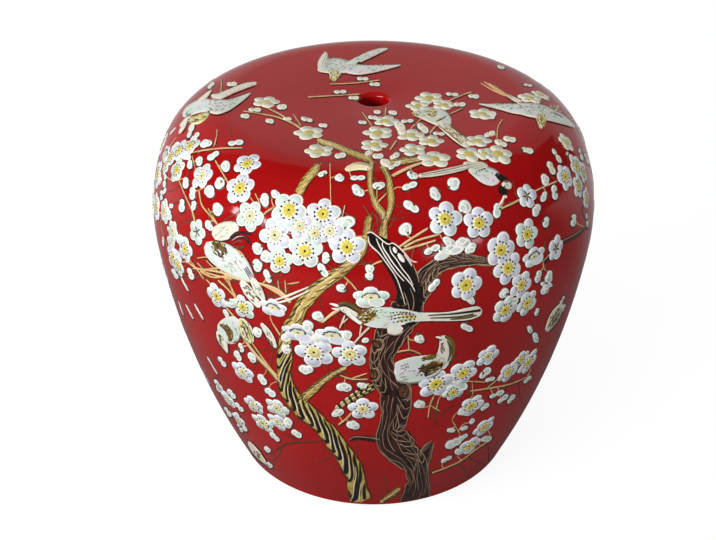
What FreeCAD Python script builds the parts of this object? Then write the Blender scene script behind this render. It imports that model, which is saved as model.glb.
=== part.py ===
import FreeCAD, Part
import math
import os

# Ceramic garden stool of the round "apple" form: a flat seat with a finger hole, a full shoulder,
# a belly set high and a long flank that runs in to a narrow foot. It is hollow and open below.
# The potter makes it from five thrown sections, lapped into each other and luted with slip on the
# inside, and four felt pads are stuck under its foot.
# Lengths are in millimetres. The stool stands on the XY plane, centred on the Z axis.

# Outside of the turned body, three arcs that run into each other
overall_height = 352.0       # floor to seat
seat_radius = 128.5          # flat part of the seat
belly_radius = 200.0         # widest level
belly_drop = 101.0           # widest level below the seat
foot_radius = 132.5          # outside of the foot at its base
shoulder_turn = 69.5         # degrees that the surface has turned down where the shoulder arc ends
belly_turn = 97.1            # degrees that it has turned where the belly arc ends and the flank begins
foot_edge_round = 2.5        # rounding of the edge that the stool stands on

# Thickness of the clay
wall = 9.0
slab_thickness = 13.0

# Finger hole in the seat, used to lift the stool
finger_hole_radius = 12.5
finger_lip_round = 4.0       # rolled lip on the seat
finger_under_round = 2.5     # softened edge under the seat

# Half-lap joints between the thrown sections
slab_edge_inset = 6.5        # edge of the seat slab inside the edge of the flat seat
slab_lap_width = 10.0        # ledge that the slab rests on
slab_lap_depth = 6.0         # depth of the slab's resting edge
tongue_height = 6.0          # tongue of each wall joint, on its inner side
foot_joint_rise = 5.5        # foot joint above the cove of the foot ring

# Foot ring, turned in as a flat flange round the open bottom
foot_opening_radius = 92.0
foot_flange_thickness = 11.0
foot_cove = 7.0              # cove between the flange and the wall, inside

# Slip beads that cover the joints on the inside
slip_bead_width = 22.0
slip_bead_height = 7.0

# Felt pads under the foot
pad_count = 4
pad_radius = 9.0
pad_thickness = 2.5
pad_edge_bevel = 0.4
pad_first_angle = 45.0       # degrees round from the front-right

AXIS_POINT = FreeCAD.Vector(0, 0, 0)
AXIS_UP = FreeCAD.Vector(0, 0, 1)
SECTION_NORMAL = FreeCAD.Vector(0, -1, 0)
CLEAR = 50.0                 # how far cutting outlines run past the clay

foot_base = pad_thickness
flange_top = foot_base + foot_flange_thickness
foot_joint_height = flange_top + foot_cove + foot_joint_rise
belly_height = overall_height - belly_drop
flank_joint_height = (foot_joint_height + belly_height) / 2
ceiling_level = overall_height - slab_thickness
slab_lap_level = overall_height - slab_lap_depth
slab_edge_radius = seat_radius - slab_edge_inset
seat_plug_radius = slab_edge_radius - slab_lap_width


def at(radius, height):
    """A point of the section plane."""
    return FreeCAD.Vector(radius, 0, height)


def outline_arcs():
    """Shoulder, belly and flank as (centre, radius, first angle, last angle).

    An angle is the lean of the outward normal from the vertical, 90 degrees at the belly. The
    shoulder leaves the seat level, the belly is upright at its widest and the flank meets the foot.
    """
    out = belly_radius - seat_radius
    shoulder_end = math.radians(shoulder_turn)
    sine = math.sin(shoulder_end)
    cosine = math.cos(shoulder_end)
    shoulder_radius = (out * cosine - belly_drop * (1 - sine)) / (sine + cosine - 1)
    belly_arc_radius = (belly_drop * sine - out * (1 - cosine)) / (sine + cosine - 1)
    shoulder_centre = at(seat_radius, overall_height - shoulder_radius)
    belly_centre = at(belly_radius - belly_arc_radius, belly_height)

    flank_start = math.radians(belly_turn)
    normal = at(math.sin(flank_start), math.cos(flank_start))
    flank_top = belly_centre + normal * belly_arc_radius
    to_foot = at(foot_radius, foot_base) - flank_top
    flank_radius = -to_foot.dot(to_foot) / (2 * to_foot.dot(normal))
    flank_centre = flank_top - normal * flank_radius
    return [
        (shoulder_centre, shoulder_radius, 0.0, shoulder_end),
        (belly_centre, belly_arc_radius, shoulder_end, flank_start),
        (flank_centre, flank_radius, flank_start, None),
    ]


ARCS = outline_arcs()


def on_arc(arc, depth, angle):
    """The point of one arc, moved into the clay by depth, where the normal has this angle."""
    return arc[0] + at(math.sin(angle), math.cos(angle)) * (arc[1] - depth)


def angle_at_height(arc, depth, height):
    """Where an arc, moved into the clay by depth, passes this height."""
    return math.acos((height - arc[0].z) / (arc[1] - depth))


def arc_edge(arc, depth, first, last):
    """One arc of the outline, moved into the clay by depth."""
    ends = on_arc(arc, depth, first), on_arc(arc, depth, last)
    return Part.Arc(ends[0], on_arc(arc, depth, (first + last) / 2), ends[1]).toShape()


def outline_edges(depth, first, last):
    """The shoulder, belly and flank from normal angle first, on the shoulder, to last, on the flank."""
    shoulder, belly, flank = ARCS
    return [
        arc_edge(shoulder, depth, first, shoulder[3]),
        arc_edge(belly, depth, belly[2], belly[3]),
        arc_edge(flank, depth, flank[2], last),
    ]


def round_edge(centre, start, end):
    """The short arc about centre from start to end."""
    middle = (start - centre) + (end - centre)
    radius = (start - centre).Length
    return Part.Arc(start, centre + middle.normalize() * radius, end).toShape()


def rounded_run(corners):
    """Straight edges through (radius, height, round) corners, with the corners between the ends rounded."""
    edges = []
    last = at(*corners[0][:2])
    for before, corner, after in zip(corners, corners[1:], corners[2:]):
        point = at(*corner[:2])
        back = (at(*before[:2]) - point).normalize() * corner[2]
        ahead = (at(*after[:2]) - point).normalize() * corner[2]
        edges.append(Part.makeLine(last, point + back))
        edges.append(round_edge(point + back + ahead, point + back, point + ahead))
        last = point + ahead
    return edges + [Part.makeLine(last, at(*corners[-1][:2]))]


def closed_face(edges):
    return Part.Face(Part.Wire(Part.__sortEdges__(edges)))


def polygon_face(points):
    corners = [at(radius, height) for radius, height in points]
    return Part.Face(Part.makePolygon(corners + corners[:1]))


def clay_section():
    """The clay on one side of the axis, whole, with its finger lip, foot flange and cove."""
    shoulder, flank = ARCS[0], ARCS[2]
    ceiling_angle = angle_at_height(shoulder, wall, ceiling_level)
    ceiling_edge = on_arc(shoulder, wall, ceiling_angle)

    heel_angle = angle_at_height(flank, foot_edge_round, foot_base + foot_edge_round)
    heel_centre = on_arc(flank, foot_edge_round, heel_angle)
    heel_end = at(heel_centre.x, foot_base)

    cove_angle = angle_at_height(flank, wall + foot_cove, flange_top + foot_cove)
    cove_centre = on_arc(flank, wall + foot_cove, cove_angle)
    cove_end = at(cove_centre.x, flange_top)

    flange = rounded_run([
        (heel_end.x, foot_base),
        (foot_opening_radius, foot_base, foot_edge_round),
        (foot_opening_radius, flange_top, foot_edge_round),
        (cove_end.x, flange_top),
    ])
    finger_hole = rounded_run([
        (ceiling_edge.x, ceiling_level),
        (finger_hole_radius, ceiling_level, finger_under_round),
        (finger_hole_radius, overall_height, finger_lip_round),
        (seat_radius, overall_height),
    ])
    heel = round_edge(heel_centre, on_arc(flank, 0.0, heel_angle), heel_end)
    cove = round_edge(cove_centre, on_arc(flank, wall, cove_angle), cove_end)
    outside = outline_edges(0.0, 0.0, heel_angle)
    inside = outline_edges(wall, ceiling_angle, cove_angle)
    return closed_face(finger_hole + outside + [heel] + flange + [cove] + inside)


def turned(face):
    """The solid that a section face makes when it is turned round the axis."""
    solid = face.revolve(AXIS_POINT, AXIS_UP, 360)
    if solid.Volume < 0:
        solid.reverse()
    return solid


CLAY = clay_section()
OUTSIDE = belly_radius + CLEAR


def wall_middle(arc, height):
    """Radius of the middle of the wall at this height."""
    faces = [on_arc(arc, depth, angle_at_height(arc, depth, height)) for depth in (0.0, wall)]
    return (faces[0].x + faces[1].x) / 2


BELLY_JOINT = (belly_radius - wall / 2, belly_height)
FLANK_JOINT = (wall_middle(ARCS[2], flank_joint_height), flank_joint_height)
FOOT_JOINT = (wall_middle(ARCS[2], foot_joint_height), foot_joint_height)


def thrown_section(corners):
    """One thrown section: the clay inside a zone of the section plane, turned round the axis."""
    return turned(CLAY.common(polygon_face(corners)).Faces[0])


def below(joint):
    """Zone corners, from the axis outwards, of the section whose tongue goes up into this joint."""
    radius, height = joint
    tongue_top = height + tongue_height
    return [(0, tongue_top), (radius, tongue_top), (radius, height), (OUTSIDE, height)]


def above(joint):
    """Zone corners, from outside to the axis, of the section that stands on this joint."""
    return list(reversed(below(joint)))


def seat_slab():
    """The seat: a flat disc with a resting edge and the finger hole."""
    return thrown_section([
        (0, overall_height + CLEAR),
        (slab_edge_radius, overall_height + CLEAR),
        (slab_edge_radius, slab_lap_level),
        (seat_plug_radius, slab_lap_level),
        (seat_plug_radius, ceiling_level - CLEAR),
        (0, ceiling_level - CLEAR),
    ])


def upper_wall():
    """The rim that carries the seat, the shoulder and the upper belly."""
    return thrown_section(above(BELLY_JOINT)[:-1] + [
        (seat_plug_radius, belly_height + tongue_height),
        (seat_plug_radius, slab_lap_level),
        (slab_edge_radius, slab_lap_level),
        (slab_edge_radius, overall_height + CLEAR),
        (OUTSIDE, overall_height + CLEAR),
    ])


def middle_wall():
    """The lower belly and the upper flank."""
    return thrown_section(below(BELLY_JOINT) + above(FLANK_JOINT))


def lower_wall():
    """The lower flank."""
    return thrown_section(below(FLANK_JOINT) + above(FOOT_JOINT))


def foot_ring():
    """The bottom of the flank, turned in as a flat ring that the stool stands on."""
    return thrown_section(below(FOOT_JOINT) + [(OUTSIDE, foot_base - CLEAR), (0, foot_base - CLEAR)])


def slip_bead(centre, lean):
    """A half-round bead of slip over a joint: lean is the angle of its long axis from the vertical."""
    long_axis = at(math.sin(lean), math.cos(lean))
    long_end = centre + long_axis * (slip_bead_width / 2)
    across = long_axis.cross(SECTION_NORMAL) * slip_bead_height
    ellipse = Part.Ellipse(long_end, centre + across, centre).toShape()
    bead = Part.Face(Part.Wire(ellipse)).cut(CLAY)
    return turned(min(bead.Faces, key=lambda face: face.CenterOfMass.x + face.CenterOfMass.z))


def wall_slip(arc, joint):
    """Slip over the end of a wall joint's tongue."""
    angle = angle_at_height(arc, wall, joint[1] + tongue_height)
    return slip_bead(on_arc(arc, wall, angle), angle + math.pi / 2)


def seat_slip():
    """Slip under the joint between the seat slab and the rim."""
    return slip_bead(at(seat_plug_radius, ceiling_level), math.pi / 2)


def belly_slip():
    return wall_slip(ARCS[1], BELLY_JOINT)


def flank_slip():
    return wall_slip(ARCS[2], FLANK_JOINT)


def foot_slip():
    return wall_slip(ARCS[2], FOOT_JOINT)


def foot_pad(index):
    """One round felt pad, stuck under the middle of the foot ring."""
    angle = math.radians(pad_first_angle + index * 360.0 / pad_count)
    ring_middle = (foot_opening_radius + foot_radius) / 2
    centre = FreeCAD.Vector(ring_middle * math.cos(angle), ring_middle * math.sin(angle), 0)
    pad = Part.makeCylinder(pad_radius, pad_thickness, centre, AXIS_UP)
    lower_edge = min(pad.Edges, key=lambda edge: edge.CenterOfMass.z)
    return pad.makeChamfer(pad_edge_bevel, [lower_edge])


NODES = {
    "seat_slab": seat_slab,
    "upper_wall": upper_wall,
    "middle_wall": middle_wall,
    "lower_wall": lower_wall,
    "foot_ring": foot_ring,
    "seat_slip": seat_slip,
    "belly_slip": belly_slip,
    "flank_slip": flank_slip,
    "foot_slip": foot_slip,
}

os.makedirs("parts", exist_ok=True)
solids = {name: make() for name, make in NODES.items()}
for index in range(pad_count):
    solids["foot_pad_%d" % (index + 1)] = foot_pad(index)
for name, solid in solids.items():
    solid.exportStep("parts/%s.step" % name)
    print("%-12s %d solid, %8.0f mm3, valid %s" % (name, len(solid.Solids), solid.Volume, solid.isValid()))
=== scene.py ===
import bpy
import bmesh
import math
import random
from mathutils import Matrix, Vector


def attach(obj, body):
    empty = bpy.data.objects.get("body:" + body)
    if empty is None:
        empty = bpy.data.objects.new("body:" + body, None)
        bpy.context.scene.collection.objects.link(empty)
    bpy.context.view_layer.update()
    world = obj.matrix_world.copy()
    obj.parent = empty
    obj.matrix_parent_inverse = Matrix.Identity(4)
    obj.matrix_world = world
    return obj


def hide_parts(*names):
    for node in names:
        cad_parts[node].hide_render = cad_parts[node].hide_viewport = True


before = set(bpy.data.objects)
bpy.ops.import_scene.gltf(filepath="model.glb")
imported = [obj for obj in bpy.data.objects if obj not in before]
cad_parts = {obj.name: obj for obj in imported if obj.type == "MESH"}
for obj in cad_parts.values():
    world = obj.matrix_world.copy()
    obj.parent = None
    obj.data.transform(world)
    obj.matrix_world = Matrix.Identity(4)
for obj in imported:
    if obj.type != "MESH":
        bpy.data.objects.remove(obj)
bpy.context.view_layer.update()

# Round ceramic garden stool, glazed red, painted with blossom branches and birds in raised enamel.
# Lengths are in metres, except where a note says photo pixels or millimetres.

millimetre = 0.001

# Camera, as fitted to the photograph
cameraRig = {
    "target": Vector((0, 0, 0.176)),
    "distance": 1.3,
    "elevation": math.radians(30.79),
    "sensorWidth": 36,  # in millimetres
    "pixelsWide": 716,
    "focalPixels": 1374.0,
    "centrePixel": (373.6, 270.9),
    "shift": (-0.0218, 0.0013),
}

lookBack = Vector((0, -math.cos(cameraRig["elevation"]), math.sin(cameraRig["elevation"])))
lookUp = Vector((0, math.sin(cameraRig["elevation"]), math.cos(cameraRig["elevation"])))
eye = cameraRig["target"] + lookBack * cameraRig["distance"]


def makeCamera():
    data = bpy.data.cameras.new("studioCamera")
    data.sensor_width = cameraRig["sensorWidth"]
    data.lens = cameraRig["focalPixels"] * cameraRig["sensorWidth"] / cameraRig["pixelsWide"]
    data.shift_x, data.shift_y = cameraRig["shift"]
    camera = bpy.data.objects.new("studioCamera", data)
    camera.location = eye
    camera.rotation_euler = (-lookBack).to_track_quat("-Z", "Y").to_euler()
    bpy.context.collection.objects.link(camera)
    bpy.context.scene.camera = camera


# Outline of the glazed body, which the painting lies on
glazeForm = {
    "height": 0.352,
    "seatRadius": 0.1285,
    "bellyRadius": 0.200,
    "bellyDrop": 0.101,  # the belly is this far below the seat
    "footRadius": 0.1325,
    "footBase": 0.0025,
    "shoulderTurn": math.radians(69.5),
    "bellyTurn": math.radians(97.1),
    "paintFoot": 0.0065,  # the painting stops here above the foot
}


def findArcs(form):
    # Shoulder, belly and flank as (centre radius, centre height, arc radius)
    sine, cosine = math.sin(form["shoulderTurn"]), math.cos(form["shoulderTurn"])
    out, drop = form["bellyRadius"] - form["seatRadius"], form["bellyDrop"]
    spare = sine + cosine - 1
    shoulder = (out * cosine - drop * (1 - sine)) / spare
    belly = (drop * sine - out * (1 - cosine)) / spare
    normal = Vector((math.sin(form["bellyTurn"]), math.cos(form["bellyTurn"])))
    bellyCentre = Vector((form["bellyRadius"] - belly, form["height"] - drop))
    flankTop = bellyCentre + normal * belly
    toFoot = Vector((form["footRadius"], form["footBase"])) - flankTop
    flank = -toFoot.dot(toFoot) / (2 * toFoot.dot(normal))
    flankCentre = flankTop - normal * flank
    return (
        (form["seatRadius"], form["height"] - shoulder, shoulder),
        (bellyCentre.x, bellyCentre.y, belly),
        (flankCentre.x, flankCentre.y, flank),
    )


shoulderArc, bellyArc, flankArc = findArcs(glazeForm)


def nearGlaze(point):
    # Distance of a point outside the glaze, with the radial and upward parts of the normal there
    rho = math.hypot(point.x, point.y)
    if rho <= glazeForm["seatRadius"]:
        return point.z - glazeForm["height"], 0.0, 1.0
    arc = shoulderArc
    if math.atan2(rho - arc[0], point.z - arc[1]) > glazeForm["shoulderTurn"]:
        arc = bellyArc
        if math.atan2(rho - arc[0], point.z - arc[1]) > glazeForm["bellyTurn"]:
            arc = flankArc
    outward, upward = rho - arc[0], point.z - arc[1]
    reach = math.hypot(outward, upward)
    return reach - arc[2], outward / reach, upward / reach


def onGlaze(point, lift=0.0):
    # The point of the glaze nearest to this one, raised by lift, and the normal there
    gap, outward, upward = nearGlaze(point)
    rho = max(math.hypot(point.x, point.y), 1e-9)
    normal = Vector((point.x / rho * outward, point.y / rho * outward, upward))
    return point + normal * (lift - gap), normal


def seenSpot(x, y):
    # The point of the glaze that shows at this pixel of the photograph
    right = (x - cameraRig["centrePixel"][0]) / cameraRig["focalPixels"]
    up = (cameraRig["centrePixel"][1] - y) / cameraRig["focalPixels"]
    ray = (Vector((right, 0, 0)) + lookUp * up - lookBack).normalized()
    travel = cameraRig["distance"] - 0.35  # starts in front of the stool
    nearest = None
    for _ in range(60):
        spot = eye + ray * travel
        gap = nearGlaze(spot)[0]
        if gap < 2e-6:
            return spot
        if nearest is None or gap < nearest[0]:
            nearest = (gap, spot)
        elif gap > nearest[0] + 0.02:  # it has gone past the stool
            break
        travel += gap
    return onGlaze(nearest[1])[0]


def paintSpot(x, y):
    # The seen spot, kept above the bare foot
    spot = seenSpot(x, y)
    if spot.z < glazeForm["paintFoot"]:
        spot = onGlaze(Vector((spot.x, spot.y, glazeForm["paintFoot"])))[0]
    return spot


def fromScreen(red, green, blue):
    # A colour given on screen, 0 to 255, as Blender's linear colour
    def linear(value):
        value = value / 255
        return value / 12.92 if value <= 0.04045 else ((value + 0.055) / 1.055) ** 2.4
    return (linear(red), linear(green), linear(blue), 1.0)


def shade(colour, amount):
    return tuple(min(part * amount, 1.0) for part in colour[:3]) + (1.0,)


def startMaterial(name):
    material = bpy.data.materials.new(name)
    material.use_nodes = True
    return material, material.node_tree, material.node_tree.nodes["Principled BSDF"]


def noiseNode(tree, scale, detail):
    # Noise on the piece's own coordinates
    coordinates = tree.nodes.new("ShaderNodeTexCoord")
    noise = tree.nodes.new("ShaderNodeTexNoise")
    noise.inputs["Scale"].default_value = scale
    noise.inputs["Detail"].default_value = detail
    tree.links.new(coordinates.outputs["Object"], noise.inputs["Vector"])
    return noise.outputs["Fac"]


def colourBy(tree, shader, source, places, colours):
    # Base colour that runs through the colours as the source rises
    ramp = tree.nodes.new("ShaderNodeValToRGB")
    while len(ramp.color_ramp.elements) < len(places):
        ramp.color_ramp.elements.new(0.5)
    for element, place, colour in zip(ramp.color_ramp.elements, places, colours):
        element.position = place
        element.color = colour
    tree.links.new(source, ramp.inputs["Fac"])
    tree.links.new(ramp.outputs["Color"], shader.inputs["Base Color"])


def rangeNode(tree, source, low, high, start=0.0, end=1.0, kind="LINEAR"):
    # The source from start to end, turned into low to high
    node = tree.nodes.new("ShaderNodeMapRange")
    node.interpolation_type = kind
    for name, value in (("From Min", start), ("From Max", end), ("To Min", low), ("To Max", high)):
        node.inputs[name].default_value = value
    tree.links.new(source, node.inputs["Value"])
    return node.outputs["Result"]


def mathNode(tree, operation, *sources):
    # A Math node fed by sockets and plain numbers
    node = tree.nodes.new("ShaderNodeMath")
    node.operation = operation
    for socket, source in zip(node.inputs, sources):
        if isinstance(source, float):
            socket.default_value = source
        else:
            tree.links.new(source, socket)
    return node.outputs["Value"]


def roughenBy(tree, shader, source, low, high):
    tree.links.new(rangeNode(tree, source, low, high), shader.inputs["Roughness"])


def bumpBy(tree, shader, source, depth):
    bump = tree.nodes.new("ShaderNodeBump")
    bump.inputs["Distance"].default_value = depth
    tree.links.new(source, bump.inputs["Height"])
    tree.links.new(bump.outputs["Normal"], shader.inputs["Normal"])


# Each noise below is (scale, detail)
glazeLook = {
    "colours": (fromScreen(157, 11, 12), fromScreen(168, 14, 15), fromScreen(177, 18, 17)),
    "colourPlaces": (0.30, 0.52, 0.75),
    "clouds": (9.0, 4.0),
    "film": (40.0, 3.0),
    "roughness": (0.07, 0.13),
    "ripple": (26.0, 2.0),
    "rippleDepth": 0.00004,
    "specular": 0.42,
}


def glazeMaterial():
    look = glazeLook
    material, tree, shader = startMaterial("redGlaze")
    shader.inputs["Specular IOR Level"].default_value = look["specular"]
    clouds = noiseNode(tree, *look["clouds"])
    colourBy(tree, shader, clouds, look["colourPlaces"], look["colours"])
    roughenBy(tree, shader, noiseNode(tree, *look["film"]), *look["roughness"])
    bumpBy(tree, shader, noiseNode(tree, *look["ripple"]), look["rippleDepth"])
    return material


clayLook = {
    "iron": fromScreen(140, 104, 72),
    "shadow": fromScreen(190, 174, 150),
    "body": fromScreen(214, 202, 182),
    "colourPlaces": (0.27, 0.34, 0.62),
    "grain": (60.0, 6.0),
    "grainShare": 0.4,  # of the grain in the relief, beside the throwing rings
    "roughness": (0.75, 0.95),
    "ringSpacing": 0.006,
    "ringDepth": 0.0004,
    "ringDistortion": 1.5,
    "ringDetail": 2.0,
    "bandsPerMetre": 3.2,  # of a Wave texture at scale 1
}


def clayMaterial(name, tone=1.0):
    look = clayLook
    material, tree, shader = startMaterial(name)
    grain = noiseNode(tree, *look["grain"])
    colours = (look["iron"], shade(look["shadow"], tone), shade(look["body"], tone))
    colourBy(tree, shader, grain, look["colourPlaces"], colours)
    roughenBy(tree, shader, grain, *look["roughness"])
    coordinates = tree.nodes.new("ShaderNodeTexCoord")
    rings = tree.nodes.new("ShaderNodeTexWave")  # throwing rings go round the axis
    rings.bands_direction = "Z"
    rings.inputs["Scale"].default_value = 1 / look["ringSpacing"] / look["bandsPerMetre"]
    rings.inputs["Distortion"].default_value = look["ringDistortion"]
    rings.inputs["Detail"].default_value = look["ringDetail"]
    tree.links.new(coordinates.outputs["Object"], rings.inputs["Vector"])
    relief = mathNode(tree, "MULTIPLY_ADD", grain, look["grainShare"], rings.outputs["Fac"])
    bumpBy(tree, shader, relief, look["ringDepth"])
    return material


feltLook = {
    "colours": (fromScreen(150, 143, 130), fromScreen(196, 190, 178)),
    "colourPlaces": (0.35, 0.65),
    "fibres": (900.0, 5.0),
    "fibreDepth": 0.0004,
    "roughness": 1.0,
    "sheen": 0.3,
}


def feltMaterial():
    look = feltLook
    material, tree, shader = startMaterial("pressedFelt")
    fibres = noiseNode(tree, *look["fibres"])
    colourBy(tree, shader, fibres, look["colourPlaces"], look["colours"])
    shader.inputs["Roughness"].default_value = look["roughness"]
    shader.inputs["Sheen Weight"].default_value = look["sheen"]
    bumpBy(tree, shader, fibres, look["fibreDepth"])
    return material


def finishPiece(name, mesh, materials):
    data = bpy.data.meshes.new(name)
    mesh.to_mesh(data)
    mesh.free()
    for material in materials:
        data.materials.append(material)
    piece = bpy.data.objects.new(name, data)
    bpy.context.collection.objects.link(piece)
    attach(piece, "root")
    return piece


# The thrown body, in one piece
bodyForm = {
    "wall": 0.009,
    "slab": 0.013,
    "holeRadius": 0.0125,
    "lipRound": 0.004,
    "underRound": 0.0025,
    "footRound": 0.0025,
    "openingRadius": 0.092,
    "flange": 0.011,
    "cove": 0.007,
    "seatRing": 0.002,
    "glazeStop": 0.0034,  # below this the foot was wiped bare
    "glazeDepth": 0.0015,  # faces no deeper than this belong to the outside
    "holeGlaze": 0.011,  # the glaze runs this far down the finger hole
    "turns": 160,
    # Faces along each arc of the section
    "shoulderSteps": 26, "bellySteps": 12, "flankSteps": 28, "heelSteps": 5, "edgeSteps": 4,
    "coveSteps": 6, "innerFlankSteps": 20, "innerBellySteps": 8, "innerShoulderSteps": 10,
    "lipSteps": 8,
    "mergeWithin": 1e-6,
}


def growArc(chain, tip, centre, turn, steps):
    # Draws on from the tip, round a centre of the section plane
    made = bmesh.ops.spin(chain, geom=[tip], cent=(centre[0], 0, centre[1]), axis=(0, 1, 0),
                          angle=turn, steps=steps, use_duplicate=False)
    return [part for part in made["geom_last"] if isinstance(part, bmesh.types.BMVert)][0]


def growLine(chain, tip, end):
    made = bmesh.ops.extrude_vert_indiv(chain, verts=[tip])
    made["verts"][0].co = (end[0], 0, end[1])
    return made["verts"][0]


def growTurn(chain, tip, arc, depth, height, steps):
    # Follows one arc of the outline, sunk by depth, to where it passes this height
    radius = arc[2] - depth
    start = math.atan2(tip.co.x - arc[0], tip.co.z - arc[1])
    end = math.acos((height - arc[1]) / radius)
    return growArc(chain, tip, arc, end - start, steps)


def stoolSection():
    form, size = bodyForm, glazeForm
    shoulderEnd, bellyEnd = size["shoulderTurn"], size["bellyTurn"]
    base, flangeTop = size["footBase"], size["footBase"] + form["flange"]
    ceiling = size["height"] - form["slab"]
    quarter = math.pi / 2
    chain = bmesh.new()
    tip = chain.verts.new((size["seatRadius"] - form["seatRing"], 0, size["height"]))
    tip = growLine(chain, tip, (size["seatRadius"], size["height"]))
    tip = growArc(chain, tip, shoulderArc, shoulderEnd, form["shoulderSteps"])
    tip = growArc(chain, tip, bellyArc, bellyEnd - shoulderEnd, form["bellySteps"])
    tip = growTurn(chain, tip, flankArc, 0, base + form["footRound"], form["flankSteps"])
    heel = math.acos((base + form["footRound"] - flankArc[1]) / (flankArc[2] - form["footRound"]))
    heelX = flankArc[0] + math.sin(heel) * (flankArc[2] - form["footRound"])
    tip = growArc(chain, tip, (heelX, base + form["footRound"]), math.pi - heel, form["heelSteps"])
    opening, corner, edge = form["openingRadius"], form["footRound"], form["edgeSteps"]
    tip = growLine(chain, tip, (opening + corner, base))
    tip = growArc(chain, tip, (opening + corner, base + corner), quarter, edge)
    tip = growLine(chain, tip, (opening, flangeTop - corner))
    tip = growArc(chain, tip, (opening + corner, flangeTop - corner), quarter, edge)
    sunk = form["wall"] + form["cove"]
    coveTurn = math.acos((flangeTop + form["cove"] - flankArc[1]) / (flankArc[2] - sunk))
    coveX = flankArc[0] + math.sin(coveTurn) * (flankArc[2] - sunk)
    coveCentre = (coveX, flangeTop + form["cove"])
    tip = growLine(chain, tip, (coveX, flangeTop))
    tip = growArc(chain, tip, coveCentre, coveTurn - math.pi, form["coveSteps"])
    flankTop = flankArc[1] + math.cos(bellyEnd) * (flankArc[2] - form["wall"])
    tip = growTurn(chain, tip, flankArc, form["wall"], flankTop, form["innerFlankSteps"])
    tip = growArc(chain, tip, bellyArc, shoulderEnd - bellyEnd, form["innerBellySteps"])
    tip = growTurn(chain, tip, shoulderArc, form["wall"], ceiling, form["innerShoulderSteps"])
    hole, under, lip = form["holeRadius"], form["underRound"], form["lipRound"]
    tip = growLine(chain, tip, (hole + under, ceiling))
    tip = growArc(chain, tip, (hole + under, ceiling + under), quarter, edge)
    tip = growLine(chain, tip, (hole, size["height"] - lip))
    tip = growArc(chain, tip, (hole + lip, size["height"] - lip), quarter, form["lipSteps"])
    chain.verts.ensure_lookup_table()
    chain.edges.new((tip, chain.verts[0]))
    return chain


def makeStoolBody(glaze, clay):
    form = bodyForm
    chain = stoolSection()
    bmesh.ops.spin(chain, geom=chain.verts[:] + chain.edges[:], cent=(0, 0, 0), axis=(0, 0, 1),
                   angle=math.tau, steps=form["turns"], use_merge=True)
    bmesh.ops.remove_doubles(chain, verts=chain.verts, dist=form["mergeWithin"])
    bmesh.ops.recalc_face_normals(chain, faces=chain.faces)
    for face in chain.faces:
        face.smooth = True
        middle = face.calc_center_median()
        outside = -nearGlaze(middle)[0] < form["glazeDepth"] and middle.z > form["glazeStop"]
        inHole = (math.hypot(middle.x, middle.y) < form["holeRadius"] + form["lipRound"]
                  and middle.z > glazeForm["height"] - form["holeGlaze"])
        face.material_index = 0 if outside or inHole else 1
    return finishPiece("stoolBody", chain, [glaze, clay])


# Each paint is one raised layer: colour on screen, record slot, roughness, how far its tone
# wanders, and for some a second colour that it drifts to
paintLooks = {
    # The first paint is the dark outline round raised shapes, set a little low so that it is also their
    # painted shadow
    "outlineAndShadow": ((58, 9, 9), "brown_enamel", 0.25, 0.15),
    "petalEdge": ((160, 160, 168), "white_enamel", 0.25, 0.10),
    "petalRim": ((255, 250, 241), "white_enamel", 0.26, 0.02),
    "petalTint": ((222, 223, 237), "white_enamel", 0.28, 0.03, (213, 226, 229)),
    "petalMint": ((210, 227, 215), "white_enamel", 0.28, 0.03, (222, 223, 231)),
    "budMint": ((197, 220, 206), "white_enamel", 0.28, 0.04, (214, 217, 219)),
    "seatEdge": ((150, 116, 86), "white_enamel", 0.30, 0.05),
    "seatRim": ((255, 241, 218), "white_enamel", 0.26, 0.02),
    "seatTint": ((224, 224, 198), "white_enamel", 0.28, 0.04, (212, 219, 214)),
    "seatHeart": ((206, 188, 92), "yellow_enamel", 0.30, 0.15, (216, 204, 140)),
    "heartSoft": ((238, 228, 158), "yellow_enamel", 0.30, 0.10),
    "heartYellow": ((232, 212, 84), "yellow_enamel", 0.30, 0.12),
    "heartPale": ((234, 230, 186), "yellow_enamel", 0.30, 0.08, (226, 214, 140)),
    "stamenOchre": ((150, 122, 36), "yellow_enamel", 0.35, 0.20),
    "antherBrown": ((28, 18, 10), "brown_enamel", 0.35, 0.20),
    "twigGold": ((233, 189, 130), "gold_enamel", 0.30, 0.12, (208, 158, 98)),
    "twigOlive": ((206, 180, 98), "gold_enamel", 0.30, 0.15, (168, 136, 62)),
    "twigCream": ((246, 228, 184), "gold_enamel", 0.30, 0.10),
    "fineTwig": ((116, 52, 28), "gold_enamel", 0.35, 0.25),
    "trunkMaroon": ((54, 23, 19), "brown_enamel", 0.30, 0.20, (74, 34, 30)),
    "barkBlack": ((18, 9, 9), "brown_enamel", 0.30, 0.20),
    "barkLine": ((182, 148, 118), "brown_enamel", 0.35, 0.20),
    "barkCream": ((236, 220, 176), "gold_enamel", 0.30, 0.12),
    "birdCream": ((240, 232, 216), "white_enamel", 0.30, 0.04, (224, 232, 214)),
    "birdGrey": ((216, 230, 218), "white_enamel", 0.30, 0.04, (234, 228, 236)),
    "birdRim": ((250, 236, 222), "white_enamel", 0.26, 0.04),
    "birdBrown": ((126, 88, 30), "gold_enamel", 0.35, 0.25, (90, 66, 24)),
    "knotBrown": ((98, 62, 34), "brown_enamel", 0.30, 0.20, (66, 36, 24)),
    "birdInk": ((38, 26, 16), "brown_enamel", 0.35, 0.25),
    "birdPeach": ((238, 204, 180), "white_enamel", 0.26, 0.05),
    "leafGreen": ((78, 84, 44), "brown_enamel", 0.35, 0.25),
    "featherMoss": ((162, 172, 146), "gold_enamel", 0.35, 0.15),
    "featherRose": ((222, 198, 190), "white_enamel", 0.30, 0.10),
}
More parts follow.
